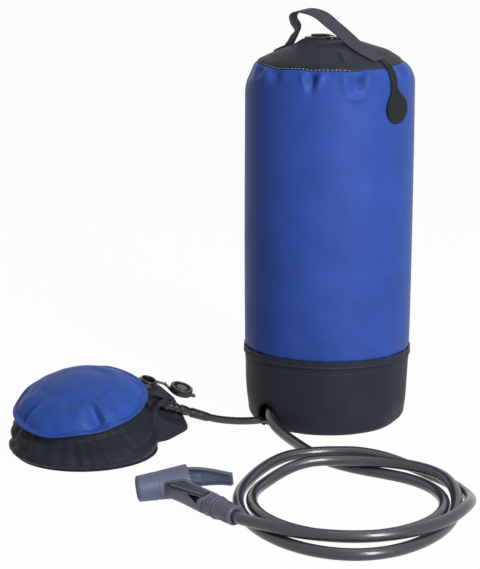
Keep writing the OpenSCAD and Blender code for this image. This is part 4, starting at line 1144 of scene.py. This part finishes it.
def stopper_cap(name, at, bore, h, brim, hinge, skirt, ribs):
    """A push-in stopper, lying open on its strap: brim, plug, pull tab and hinge lug, joined into one piece."""
    d, z = hinge
    open_ = at @ turned((d, 0, z), y=180) @ turned((-d, 0, -z))
    low, top = h + 0.4, h + 2.4
    if skirt > 0:
        profile = [(0, h - 5), (bore - 0.9, h - 5), (bore - 0.4, h - 2.8), (brim - 3.3, h - 2.8),
                   (brim - 3.3, low - skirt), (brim - 0.5, low - skirt), (brim - 0.2, low), (brim, low + 0.6),
                   (brim, top), (brim - 4, top + 0.3), (0, top)]
    else:
        profile = [(0, h - 5), (bore - 0.9, h - 5), (bore - 0.3, low), (brim, low), (brim, top), (0, top)]
    cap = lathe(name, profile, open_, "stopper", radius=0.5, closed=False, segments=64)
    tongue = [(-brim + 2, -4), (-brim + 2, 4), (-brim - 2.5, 4), (-brim - 5, 2.2), (-brim - 5, -2.2),
              (-brim - 2.5, -4)]
    pull = outline_plate("pull", rounded(tongue, 1.2, True), low, top, open_, "stopper")
    lug = outline_plate("lug", [(brim - 1.5, low), (brim - 1.5, top), (brim, top), (d + 0.5, z + 0.5),
                                (d + 0.2, z + 1.5), (d - 1.4, z + 0.6), (brim - 0.3, low)], -3.5, 3.5,
                        open_ @ turned((0, 0, 0), x=90), "stopper", edge=0.3)
    if ribs:
        teeth = grown("teeth", MATERIALS["rib_tree"], {
            "Ring": (brim - 0.5) * MM, "Count": 36, "Width": 1.2 * MM, "Depth": 1.3 * MM, "Height": 6.4 * MM,
            "Material": MATERIALS["stopper"]})
        join(cap, moved(teeth, open_ @ turned((0, 0, low - skirt / 2))))
    return join(cap, pull, lug)


def stopper_neck(name, at, bore, collar, h, flange, lift=1.7):
    """A welded valve neck: flange with a rolled edge, collar and open bore."""
    return lathe(name, [(bore, -5), (bore, h - 0.8), (bore + 0.8, h), (collar - 0.2, h), (collar + 0.3, h - 0.8),
                        (collar, h - 2), (collar, lift + 1.1), (collar + 1, lift + 0.4), (flange - 0.8, lift),
                        (flange, lift - 0.5), (flange, lift - 1.7), (collar, lift - 2.3), (collar - 0.2, -5)],
                 at, "stopper", radius=0.5, segments=72)


def stopper_strap(name, at, collar, hinge):
    """The short strap that keeps a stopper on its neck, ending in a round hinge bead."""
    d, z = hinge
    line = put(at, [(x, 0, z - 0.6) for x in np.linspace(collar - 0.4, d, 8)])
    strap = sweep(name, line, np.tile(at[:3, 1], (8, 1)), strip_section(6, 1.0), "stopper", uv=False)
    bead = lathe("bead", [(0, -3), (1.1, -3), (1.1, 3), (0, 3)], at @ turned((d, 0, z), x=90), "stopper",
                 radius=0.3, closed=False, segments=20)
    return join(strap, bead)


# A stopper's hinge: how far out from its neck's middle, and how high.
FILLER_HINGE = (15.35, 5.5)
VALVE_HINGE = (20.0, 6.0)


class SHOWER_OT_filler(bpy.types.Operator):
    """Makes the filler neck on the crown with its open stopper"""
    bl_idname = "shower.filler"
    bl_label = "Filler"

    def execute(self, context):
        seat(stopper_neck("filler_collar", FILLER, 9, 11.5, 8, 19.0, 5.2), "shower", "stopper_rubber",
             "filler_neck")
        seat(stopper_cap("filler_cap", FILLER, 9, 8, 11.5, FILLER_HINGE, 0, False), "filler_stopper",
             "stopper_rubber", "filler_plug")
        seat(stopper_strap("filler_strap", FILLER, 11.5, FILLER_HINGE), "shower", "stopper_rubber",
             "filler_tether")
        return {"FINISHED"}


STRAP_LINE = [(-47.403, 24.153, 451.518), (-41.5, 20.5, CROWN_Z + 5.5), (-38.5, 15, CROWN_Z + 14.5),
              (-41.8, 9, CROWN_Z + 24.9), (-39.8, 3, CROWN_Z + 32.4), (-29.3, -8, CROWN_Z + 35.4),
              (-13.3, -19, CROWN_Z + 31.0), (1.6, -26, CROWN_Z + 19.4), (15.2, -32.2, CROWN_Z + 8),
              (27.648, -39.485, 453.744)]
STRAP_SIDES = [(0.42, 0.9, 0), (0.35, 0.93, 0), (0.3, 0.95, 0), (0.35, 0.93, 0.05), (0.5, 0.85, 0.1),
               (0.7, 0.65, 0.15), (0.7, 0.65, 0.15), (0.7, 0.65, 0.12), (0.7, 0.65, 0.1), (0.8, 0.6, 0)]


def dome_spot(az, r, proud):
    """A point over the tank's top at a radius on a bearing."""
    u = math.radians(az)
    return [r * math.cos(u), r * math.sin(u), float(dome(r)) + proud]


class SHOWER_OT_straps(bpy.types.Operator):
    """Makes the carry strap with its sewn ends, and the hanging tab"""
    bl_idname = "shower.straps"
    bl_label = "Strap and tab"

    def execute(self, context):
        self.make_strap(context.scene.shower_sizes)
        self.make_tab()
        return {"FINISHED"}

    def make_strap(self, sizes):
        """The carry strap, sewn to the dome with a crossed box of stitches at each end."""
        left = [dome_spot(153, r, 1.6) for r in (68, 64, 60, 57)]
        right = [dome_spot(az, r, 2.0) for az, r in ((-55, 53), (-54.5, 58), (-53, 66), (-51, 76), (-50, 82))]
        line = through(left + STRAP_LINE + right, 6)
        sides = through([(0.454, 0.891, 0)] * 4 + STRAP_SIDES + [(0.819, 0.574, 0)] * 3 + [(0.78, 0.63, 0)] * 2, 6)
        section = strip_section(sizes.strap_width / MM, sizes.strap_thickness / MM)
        strap = sweep("carry_webbing", line, sides, section, "webbing")
        rows = []
        for az, spots in ((153, (58, 66)), (-55, (59, 75))):
            u = math.radians(az)
            wide = np.array([-math.sin(u), math.cos(u), 0]) * 8.5
            a, b = (np.array(dome_spot(az, r, 3.05)) for r in spots)
            for corners in ([a - wide, b - wide, b + wide, a + wide, a - wide], [a - wide, b + wide],
                            [a + wide, b - wide]):
                rows.append(stitches("box_row", evenly(corners, 1.5), sizes, "dull_thread"))
        join(strap, *rows)
        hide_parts("carry_strap", "strap_foot_right", "strap_foot_left")
        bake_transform(strap)

    def make_tab(self):
        """The hanging tab: a narrow root over the shoulder that widens into an oval pad on the tank's side."""
        root = 5.5
        lean = math.radians(12)
        az = math.radians(-47)
        outward = np.array([math.cos(az), math.sin(az), 0])
        tangent = np.array([-math.sin(az), math.cos(az), 0])
        line, half = [], []
        for r in (76, 79.2):
            line.append(outward * r + [0, 0, float(dome(r)) + 1.7])
            half.append(root)
        for q in np.radians(np.linspace(62, 0, 12)):
            line.append(outward * (70 + 31.3 * math.cos(q)) + [0, 0, SHOULDER_Z + 31.3 * math.sin(q)])
            half.append(root)
        for d in np.linspace(1.5, 41.4, 30):
            line.append(outward * (101.5 + 0.4 * smooth(d / 10)) + [0, 0, 407.5]
                        + d * (math.sin(lean) * tangent - [0, 0, math.cos(lean)]))
            disc = math.sqrt(max(0.04, 17.4 ** 2 - (d - 24.2) ** 2)) if d > 7.5 else 0
            neck = root + 10 * smooth(d / 19) if d < 20 else 0
            half.append(max(disc, neck) if d < 30 else max(disc, 0.6))
        half = np.array(half)
        half[1:-3] = np.convolve(half, [0.2, 0.6, 0.2], "same")[1:-3]
        base = strip_section(2, 2.0)
        base[:, 0] = np.clip(base[:, 0], -1, 1)
        sections = np.array([np.column_stack([strip_section(2 * h, 2.0)[:, 0] if h > 1.2 else base[:, 0] * h,
                                              strip_section(max(2 * h, 2.4), 2.0)[:, 1]]) for h in half])
        tab = sweep("hanging_tab", np.array(line), np.tile(tangent, (len(line), 1)), sections, "tab")
        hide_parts("tab_root", "tab_pad")
        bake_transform(tab)


# Folds of the pump's wall: bearing, depth, half width in degrees, and middle and half height as shares of the wall.
WALL_FOLDS = [(-104, 1.6, 3.6, 0.42, 0.3), (-92, 2.4, 3.0, 0.36, 0.28), (-82, 1.8, 2.6, 0.34, 0.3),
              (-73, 2.6, 3.0, 0.4, 0.3), (-63, 2.2, 2.6, 0.44, 0.28), (-54, 2.4, 3.2, 0.5, 0.26),
              (-45, 1.8, 3.0, 0.5, 0.3), (-120, 1.8, 4.0, 0.4, 0.3), (-140, 2.6, 3.4, 0.4, 0.3),
              (-160, 1.8, 4.0, 0.5, 0.3), (178, 2.4, 3.4, 0.4, 0.3), (155, 2.0, 4.0, 0.4, 0.3),
              (130, 2.4, 3.6, 0.45, 0.3), (105, 2.0, 4.2, 0.4, 0.3), (80, 2.4, 3.4, 0.42, 0.3),
              (60, 1.6, 4.0, 0.4, 0.3)]


def pump_outline(az):
    """Reach of the pump's base panel on a bearing about its middle: a disc with a tongue for the fittings."""
    q = np.radians(angle_from(az, 27))
    reach, half, far = 81.0, 20.0, 66.0
    x = np.linspace(-40, 130, 400)
    disc = np.sqrt(np.maximum(reach ** 2 - x ** 2, 0))
    tongue = np.where(x < far, half, np.sqrt(np.maximum(half ** 2 - np.maximum(x - far, 0) ** 2, 0)))
    edge = np.where(x < far + half, np.maximum(disc * (x < reach), tongue), 0)
    kernel = hump(np.arange(-14, 15), 0, 7)
    edge = np.convolve(np.pad(edge, 14, mode="edge"), kernel / kernel.sum(), "valid")
    bearing = np.arctan2(edge, x)
    far_out = np.hypot(edge, x)
    order = np.argsort(bearing)
    return np.where(np.abs(q) > 1.9, reach, np.interp(np.abs(q), bearing[order], far_out[order]))


def rim_height(x, y):
    """Height of the underside of the cushion's tilted rim over a point."""
    n = CUSHION[:3, 2]
    return CUSHION[2, 3] - (n[0] * (x - CUSHION[0, 3]) + n[1] * (y - CUSHION[1, 3])) / n[2] - 2.6


class SHOWER_OT_pump(bpy.types.Operator):
    """Makes the pump's base panel, its folding wall, its foam and the hood over the fittings"""
    bl_idname = "shower.pump"
    bl_label = "Pump body"

    def execute(self, context):
        self.make_panel()
        self.make_wall()
        self.make_foam()
        self.make_hood()
        return {"FINISHED"}

    def make_panel(self):
        """The flat base panel with its tongue."""
        az = bearings(180)
        reach = pump_outline(az)
        outline = np.column_stack([reach * np.cos(np.radians(az)), reach * np.sin(np.radians(az))])
        panel = outline_plate("pump_panel", outline, 0.05, 2.5, turned((PUMP_X, PUMP_Y, 0)), "black", edge=0.8)
        seat(panel, "shower", "black_cloth", "pump_base")

    def make_wall(self):
        """The soft wall between the base panel and the cushion's rim, with its folds."""
        columns, levels, foot = 240, 46, 84
        az = bearings(columns)
        u = np.radians(az)[None]
        v = np.linspace(0, 1, levels)[:, None]
        top_x = CUSHION_X + 63 * np.cos(u)
        top_y = PUMP_Y + 63 * np.sin(u)
        top_z = rim_height(top_x, top_y) + 1.3
        # In front the wall is drawn in under the cushion. At the back and left it bulges twice, a fold between.
        back = 1 - hump(angle_from(az, -84), 0, 74)[None]
        level = [0, 0.05, 0.14, 0.24, 0.34, 0.45, 0.56, 0.7, 0.84, 1]
        grow = (back * np.interp(v, level, [-4, 1, 4.4, 4, 3.6, 4.6, 5.4, 4, 1, 0])
                + (1 - back) * np.interp(v, level, [-4, 1, 4.4, 4.6, 3.8, 2.4, 1, 0, 0, 0]))
        lean = (back * np.interp(v, [0, 0.3, 0.58, 0.8, 1], [0, 0, 0.14, 0.62, 1])
                + (1 - back) * np.interp(v, [0, 0.26, 0.4, 0.54, 0.7, 1], [0, 0.04, 0.3, 0.7, 0.94, 1]))
        x0, y0 = PUMP_X + foot * np.cos(u), PUMP_Y + foot * np.sin(u)
        grow = grow - 6.5 * back * hump(v, 0.34, 0.075) - 7 * hump(angle_from(az, 8), 0, 36)[None]
        waves = np.zeros((levels, columns))
        for middle, deep, wide, level, tall in WALL_FOLDS:
            d = angle_from(az, middle)[None]
            waves -= deep * (hump(d, 0, wide) - 0.5 * hump(np.abs(d), 1.9 * wide, wide)) * hump(v, level, tall)
        waves *= smooth(v / 0.08) * smooth((1 - v) / 0.1)
        grow = grow + waves
        x = x0 + (top_x - x0) * lean + grow * np.cos(u)
        y = y0 + (top_y - y0) * lean + grow * np.sin(u)
        z = 2.3 + (top_z - 2.3) * v
        flat_u = np.append(np.radians(az), math.pi)[None]
        flat = np.stack(np.broadcast_arrays(flat_u * foot, v * 50), axis=-1)
        wall = grid("pump_bellows", np.stack([x, y, z], axis=-1), "black", uv=flat)
        thicken(wall, 1.2)
        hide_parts("pump_wall")
        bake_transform(wall)

    def make_foam(self):
        """The foam that lifts the cushion again, cut to a slope under it."""
        q = np.arange(72) / 72 * TURN

        def level(r):
            return rim_height(PUMP_X + r * np.cos(q), PUMP_Y + r * np.sin(q)) - 0.6

        def disc(r, h):
            return np.column_stack([PUMP_X + r * np.cos(q), PUMP_Y + r * np.sin(q), h + 0 * q])

        top, mid = level(56), level(30)
        rows = [disc(30, 2.6), disc(54, 2.6), disc(55.6, 3.4), disc(56, 5), disc(56, top - 2), disc(55.4, top - 0.6),
                disc(54, top), disc(30, mid)]
        foam = grid("pump_pad", np.array(rows), "foam", start_cap=True, end_cap=True)
        tidy(foam)
        seat(foam, "shower", "foam", "pump_foam")
        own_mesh(foam)

    def make_hood(self):
        """The cloth hood: a skin drawn over the tongue, the valve and the connector, hollowed under the connector."""
        bm = bmesh.new()
        # Rings that the skin is drawn over: placement, middle, radius, heights, number of points.
        for matrix, x, y, r, heights, count in (
                (PUMP, 62, 0, 23, (2.5,), 36), (PUMP, 82, 0, 21, (2.5,), 36), (PUMP, 104, -4, 20, (12, 15), 36),
                (VALVE, 0, 0, 15, (0,), 36), (PUMP, 106, 3, 5, (48,), 18), (PUMP, 86, -15, 7, (50.5,), 18)):
            for a in np.arange(count) / count * TURN:
                for h in heights:
                    bm.verts.new(put(matrix, (x + r * math.cos(a), y + r * math.sin(a), h)) * MM)
        bmesh.ops.convex_hull(bm, input=bm.verts)
        loose = [vert for vert in bm.verts if not vert.link_faces]
        bmesh.ops.delete(bm, geom=loose, context="VERTS")
        mesh = bpy.data.meshes.new("pump_nose")
        bm.to_mesh(mesh)
        bm.free()
        mesh.materials.append(MATERIALS["black"])
        hood = stood("pump_nose", mesh)
        bow = [(math.sin(a), -math.cos(a)) for a in np.linspace(0, math.pi, 19)]
        mouth_at = CONNECTOR @ turned((11, -13, -7)) @ np.diag([25.0, 19.0, 9.5, 1.0])
        boolean(hood, lathe("mouth", bow, mouth_at, "black", radius=0, closed=False, segments=40), "DIFFERENCE")
        remesh = hood.modifiers.new("Skin", "REMESH")
        remesh.mode = "VOXEL"
        remesh.voxel_size = 0.002
        soften = hood.modifiers.new("Soften", "SMOOTH")
        soften.factor = 0.5
        soften.iterations = 7
        settle(hood)
        # Room for the cushion, the connector and the valve.
        for name, r, low, high, matrix, segments in (
                ("keep_out", 79.5, -20, 120, turned((CUSHION_X, PUMP_Y, 0)), 96),
                ("tunnel", 7.2, -40, 40, CONNECTOR @ ALONG_X, 28), ("well", 9.9, -26, 20, VALVE, 40)):
            room = lathe(name, [(0, low), (r, low), (r, high), (0, high)], matrix, "black", radius=0, closed=False,
                         segments=segments)
            boolean(hood, room, "DIFFERENCE")
        crisp(hood, 50)
        seat(hood, "shower", "black_cloth", "pump_hood")


# Folds of the cushion: bearing, depth, half width on either side in degrees, where it starts from the middle as a
# share of the radius, and its lean.
CUSHION_FOLDS = [(-64, 10.0, 9.0, 2.4, 0.5, 8), (-53, -3.4, 7.0, 9.0, 0.5, 6), (-150, 8.0, 9.0, 3.0, 0.5, -6),
                 (-22, 2.6, 6.0, 5.0, 0.66, 3), (14, 4.0, 3.0, 5.0, 0.72, 4), (36, 5.0, 6.0, 3.0, 0.7, 0),
                 (56, 2.4, 4.0, 10.0, 0.7, 5), (88, 3.0, 7.0, 6.0, 0.7, 0), (122, 3.0, 6.0, 6.0, 0.66, -4),
                 (163, 3.0, 6.0, 6.0, 0.66, 3), (-112, 2.0, 6.0, 6.0, 0.74, 2)]


def puffed(top, az, t):
    """How far air under the cushion's cloth moves its points: a short cloth simulation with the rim held."""
    rings, columns, held_rings, last_frame, most_mm = 19, 90, 3, 20, 3.0
    fine, coarse = np.linspace(0.14, 1, rings), bearings(columns)
    rows = np.zeros((rings, columns, 3))
    for k in range(3):
        at_t = np.array([np.interp(fine, t, column) for column in top[..., k].T]).T
        rows[..., k] = [np.interp(coarse, az, row, period=360) for row in at_t]
    sheet = grid("cushion_fill", rows, "cushion", start_cap=True)
    held = sheet.vertex_groups.new(name="rim")
    held.add(list(range((rings - held_rings) * columns, rings * columns)), 1.0, "REPLACE")
    fill = sheet.modifiers.new("Fill", "CLOTH")
    cloth = fill.settings
    cloth.quality = 6
    cloth.mass = 0.2
    cloth.tension_stiffness = cloth.compression_stiffness = 15
    cloth.shear_stiffness = 5
    cloth.bending_stiffness = 0.3
    cloth.vertex_group_mass = "rim"
    cloth.use_pressure = True
    cloth.uniform_pressure_force = 4
    cloth.shrink_min = 0
    cloth.effector_weights.gravity = 0
    fill.collision_settings.use_collision = False
    fill.collision_settings.use_self_collision = False
    fill.point_cache.frame_start, fill.point_cache.frame_end = 1, last_frame
    for frame_number in range(1, last_frame + 1):
        bpy.context.scene.frame_set(frame_number)
    settle(sheet)
    shift = points_of(sheet)[:rings * columns].reshape(rows.shape) - rows
    bpy.context.scene.frame_set(1)
    discard(sheet)
    far = np.linalg.norm(shift, axis=-1, keepdims=True)
    shift *= np.minimum(1, most_mm / np.maximum(far, 1e-6)) * smooth((fine - 0.2) / 0.4)[:, None, None]
    out = np.zeros(top.shape)
    for k in range(3):
        by_row = np.array([np.interp(az, coarse, row, period=360) for row in shift[..., k]])
        out[..., k] = np.array([np.interp(t, fine, column) for column in by_row.T]).T
    return out


class SHOWER_OT_cushion(bpy.types.Operator):
    """Makes the pump's blue cushion: a crowned form with a thin welded rim and puckers"""
    bl_idname = "shower.cushion"
    bl_label = "Cushion"

    def execute(self, context):
        sizes = context.scene.shower_sizes
        az = bearings(240)
        u = np.radians(az)[None]
        flat_edge = 0.915
        t = np.concatenate([np.linspace(0.03, 0.86, 30), np.linspace(0.87, flat_edge, 6),
                            np.linspace(0.925, 1, 8)])[:, None]
        rim, crown = sizes.cushion_radius / MM, sizes.cushion_crown / MM
        c = np.clip(t / flat_edge, 0, 1)
        rise = 1.0 + crown * np.maximum(1 - c ** 2.3, 0) ** 0.62
        reach = rim * (1 + 0.012 * np.cos(3 * u + 0.5) + 0.004 * np.cos(7 * u + 1.7))
        for middle, deep, before, after, inner, lean in CUSHION_FOLDS:
            d = angle_from(az, middle)[None] + lean * (1 - t)
            dip = np.where(d < 0, hump(d, 0, before), hump(d, 0, after))
            dip = dip - 0.25 * hump(d, -2.2 * before, before) - 0.25 * hump(d, 2.0 * after, after)
            rise = rise - deep * dip * smooth((t - inner) / (0.9 - inner)) * smooth((1.01 - t) / 0.1)
        rise = np.maximum(rise, 0.9)
        wave = 0.7 * np.cos(5 * u + 1) + 0.4 * np.cos(9 * u + 2) + 3.2 * hump(angle_from(az, 78), 0, 48)[None]
        lift = wave * smooth((t - 0.8) / 0.2)
        r = t * reach
        top = np.stack([r * np.cos(u), r * np.sin(u), rise + lift], axis=-1)
        top = top + puffed(top, az, t[:, 0])
        under_t = np.array([1.0, 0.97, 0.9, 0.7, 0.4, 0.03])[:, None]
        ru = under_t * reach
        under_z = -0.4 - 1.5 * smooth((1 - under_t) / 0.1) + wave * smooth((under_t - 0.8) / 0.2)
        under = np.stack(np.broadcast_arrays(ru * np.cos(u), ru * np.sin(u), under_z), axis=-1)
        rows = np.concatenate([top, under])
        rows = put(CUSHION, rows.reshape(-1, 3)).reshape(rows.shape)
        closed = np.concatenate([rows, rows[:, :1]], axis=1)
        cushion = grid("pump_top_pad", rows, "cushion", uv=closed[..., :2], start_cap=True, end_cap=True)
        tidy(cushion)
        seat(cushion, "pump_top", "blue_cushion", "pump_cushion")
        return {"FINISHED"}


class SHOWER_OT_air_fittings(bpy.types.Operator):
    """Makes the pump's intake neck with its open stopper, the air connector and its strain relief"""
    bl_idname = "shower.air_fittings"
    bl_label = "Air fittings"

    def execute(self, context):
        seat(stopper_neck("intake_collar", VALVE, 7.5, 9.7, 5.8, 13), "shower", "stopper_rubber", "valve_neck")
        seat(stopper_cap("intake_cap", VALVE, 7.5, 9, 13.5, VALVE_HINGE, 6, True), "pump_stopper",
             "stopper_rubber", "valve_plug")
        seat(stopper_strap("intake_strap", VALVE, 9.7, VALVE_HINGE), "shower", "stopper_rubber", "valve_tether")
        along = CONNECTOR @ ALONG_X
        body = lathe("air_connector", [
            (2.5, -6), (5.6, -6), (5.6, 3.6), (6.3, 4.2), (6.3, 7), (5.0, 7.8), (5.0, 11), (6.0, 11.6),
            (6.0, 14.5), (5.0, 15.2), (5.0, 19.4), (6.1, 20), (5.4, 29), (4.9, 29.6), (4.9, 33), (2.5, 33)],
            along, "fitting", radius=0.5, segments=48)
        seat(body, "shower", "black_plastic", "pump_connector")
        hexagon = [(7.6 * math.cos(k * TURN / 6), 7.6 * math.sin(k * TURN / 6)) for k in range(6)]
        nut = outline_plate("connector_nut", rounded(hexagon, 1.4, True), -4, 1, along, "fitting", edge=0.7)
        seat(nut, "shower", "black_plastic", "connector_ring")
        profile = [(4.75, 33), (5.4, 33)]
        for i in range(7):
            at, r = 35 + 3.2 * i, 5.9 - 0.07 * i
            profile += [(r - 0.5, at - 0.3), (r, at), (r, at + 1.7), (r - 0.5, at + 2.0)]
        profile += [(5.1, 58), (4.75, 58)]
        sleeve = lathe("relief_sleeve", profile, along, "fitting", radius=0.3, segments=40)
        seat(sleeve, "shower", "black_plastic", "strain_relief")
        return {"FINISHED"}


class SHOWER_OT_inner_parts(bpy.types.Operator):
    """Gives the fittings, seals and pins that stay as solids their finishes"""
    bl_idname = "shower.inner_parts"
    bl_label = "Inner parts"

    def execute(self, context):
        finish = {"seal": ("outlet_gasket", "inlet_gasket", "inlet_disc", "intake_flap", "outlet_flap",
                           "stem_seal", "coupling_washer"),
                  "fitting": ("outlet_fitting", "outlet_nut", "inlet_fitting", "inlet_nut"),
                  "steel": ("outlet_ferrule", "inlet_ferrule", "trigger_pin", "valve_stem")}
        for key, names in finish.items():
            for name in names:
                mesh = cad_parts[name].data
                mesh.materials.clear()
                mesh.materials.append(MATERIALS[key])
        return {"FINISHED"}


def background_rays(tree):
    """1 for the rays that show the white background: seen straight, mirrored or through something clear."""
    path = add(tree, "ShaderNodeLightPath")
    seen = add(tree, "ShaderNodeMath", {0: path.outputs["Is Camera Ray"], 1: path.outputs["Is Transmission Ray"]},
               operation="MAXIMUM")
    both = add(tree, "ShaderNodeMath", {0: seen.outputs[0], 1: path.outputs["Is Glossy Ray"]},
               operation="MAXIMUM")
    return both.outputs[0]


class SHOWER_OT_stage(bpy.types.Operator):
    """Sets the camera, the soft lights, the white world and the pale floor"""
    bl_idname = "shower.stage"
    bl_label = "Stage"

    def execute(self, context):
        context.scene.view_settings.view_transform = "Standard"
        self.set_camera(context.scene)
        self.set_lights()
        self.set_world(context.scene)
        self.lay_paper()
        return {"FINISHED"}

    def set_camera(self, scene):
        """The camera that sees the object as the photo does."""
        camera = bpy.data.cameras.new("Camera")
        camera.lens = 98.5
        camera.sensor_width = 36
        eye = stood("Camera", camera)
        eye.location = (-0.106, -1.850, 0.544)
        eye.rotation_euler = (math.radians(90 - 11.59), 0, 0)
        scene.camera = eye

    def set_lights(self):
        """A tall soft light from the front right, and a weak one from above."""
        for name, place, aim, wide, tall, watts in (
                ("Key", (0.92, -2.0, 1.15), (0, -0.1, 0.3), 0.5, 1.5, 62),
                ("Top", (0.3, -0.4, 2.2), (-0.1, -0.2, 0), 1.2, 1.2, 7)):
            lamp = bpy.data.lights.new(name, "AREA")
            lamp.shape = "RECTANGLE"
            lamp.size = wide
            lamp.size_y = tall
            lamp.energy = watts
            obj = stood(name, lamp)
            obj.location = place
            way = np.array(aim) - np.array(place)
            tip = math.atan2(math.hypot(way[0], way[1]), -way[2])
            obj.rotation_euler = (tip, 0, math.atan2(way[1], way[0]) - math.pi / 2)

    def set_world(self, scene):
        """A world that looks white and lights the object only a little."""
        world = bpy.data.worlds.new("Studio")
        tree = emptied(world)
        soft = add(tree, "ShaderNodeBackground", {"Color": (1, 1, 1, 1), "Strength": 0.05})
        white = add(tree, "ShaderNodeBackground", {"Color": (1, 1, 1, 1), "Strength": 1.0})
        both = add(tree, "ShaderNodeMixShader", {0: background_rays(tree), 1: soft.outputs[0],
                                                 2: white.outputs[0]})
        add(tree, "ShaderNodeOutputWorld", {"Surface": both.outputs[0]})
        scene.world = world

    def lay_paper(self):
        """Matt white paper: to the camera it is nearly the same white as the world, and keeps a faint shadow."""
        paper = bpy.data.materials.new("White paper laid flat")
        tree = emptied(paper)
        seen = add(tree, "ShaderNodeMath", {0: background_rays(tree), 1: 0.97}, operation="MULTIPLY")
        matt = add(tree, "ShaderNodeBsdfDiffuse", {"Color": (0.9, 0.9, 0.9, 1)})
        glow = add(tree, "ShaderNodeEmission", {"Color": (1, 1, 1, 1), "Strength": 1.0})
        both = add(tree, "ShaderNodeMixShader", {0: seen.outputs[0], 1: matt.outputs[0], 2: glow.outputs[0]})
        add(tree, "ShaderNodeOutputMaterial", {"Surface": both.outputs[0]})
        MATERIALS["paper"] = paper
        spots = np.linspace(-30000, 30000, 9)
        rows = np.array([[(x, y, 0) for x in spots] for y in spots])
        floor = grid("paper_floor", rows, "paper", wrap=False)


STEPS = (SHOWER_OT_finishes, SHOWER_OT_stage, SHOWER_OT_handset, SHOWER_OT_hoses, SHOWER_OT_tank, SHOWER_OT_base,
         SHOWER_OT_filler, SHOWER_OT_straps, SHOWER_OT_pump, SHOWER_OT_cushion, SHOWER_OT_air_fittings,
         SHOWER_OT_inner_parts)


class SHOWER_PT_pieces(bpy.types.Panel):
    """Lists the sizes, the colours and the steps that make the shower"""
    bl_idname = "SHOWER_PT_pieces"
    bl_label = "Camp shower"
    bl_space_type = "VIEW_3D"
    bl_region_type = "UI"
    bl_category = "Shower"

    def draw(self, context):
        for group in (context.scene.shower_sizes, context.scene.shower_colours):
            for key in group.bl_rna.properties.keys():
                if key not in ("rna_type", "name"):
                    self.layout.prop(group, key)
        for step in STEPS:
            self.layout.operator(step.bl_idname)


CLASSES = (ShowerSizes, ShowerColours) + STEPS + (SHOWER_PT_pieces,)


def register():
    """Adds the classes and the scene's settings."""
    for cls in CLASSES:
        bpy.utils.register_class(cls)
    bpy.types.Scene.shower_sizes = PointerProperty(type=ShowerSizes)
    bpy.types.Scene.shower_colours = PointerProperty(type=ShowerColours)


def unregister():
    """Takes them away again."""
    del bpy.types.Scene.shower_colours
    del bpy.types.Scene.shower_sizes
    for cls in reversed(CLASSES):
        bpy.utils.unregister_class(cls)


def main():
    """Makes every piece in order."""
    register()
    for step in STEPS:
        group, call = step.bl_idname.split(".")
        getattr(getattr(bpy.ops, group), call)()


if __name__ == "__main__":
    main()
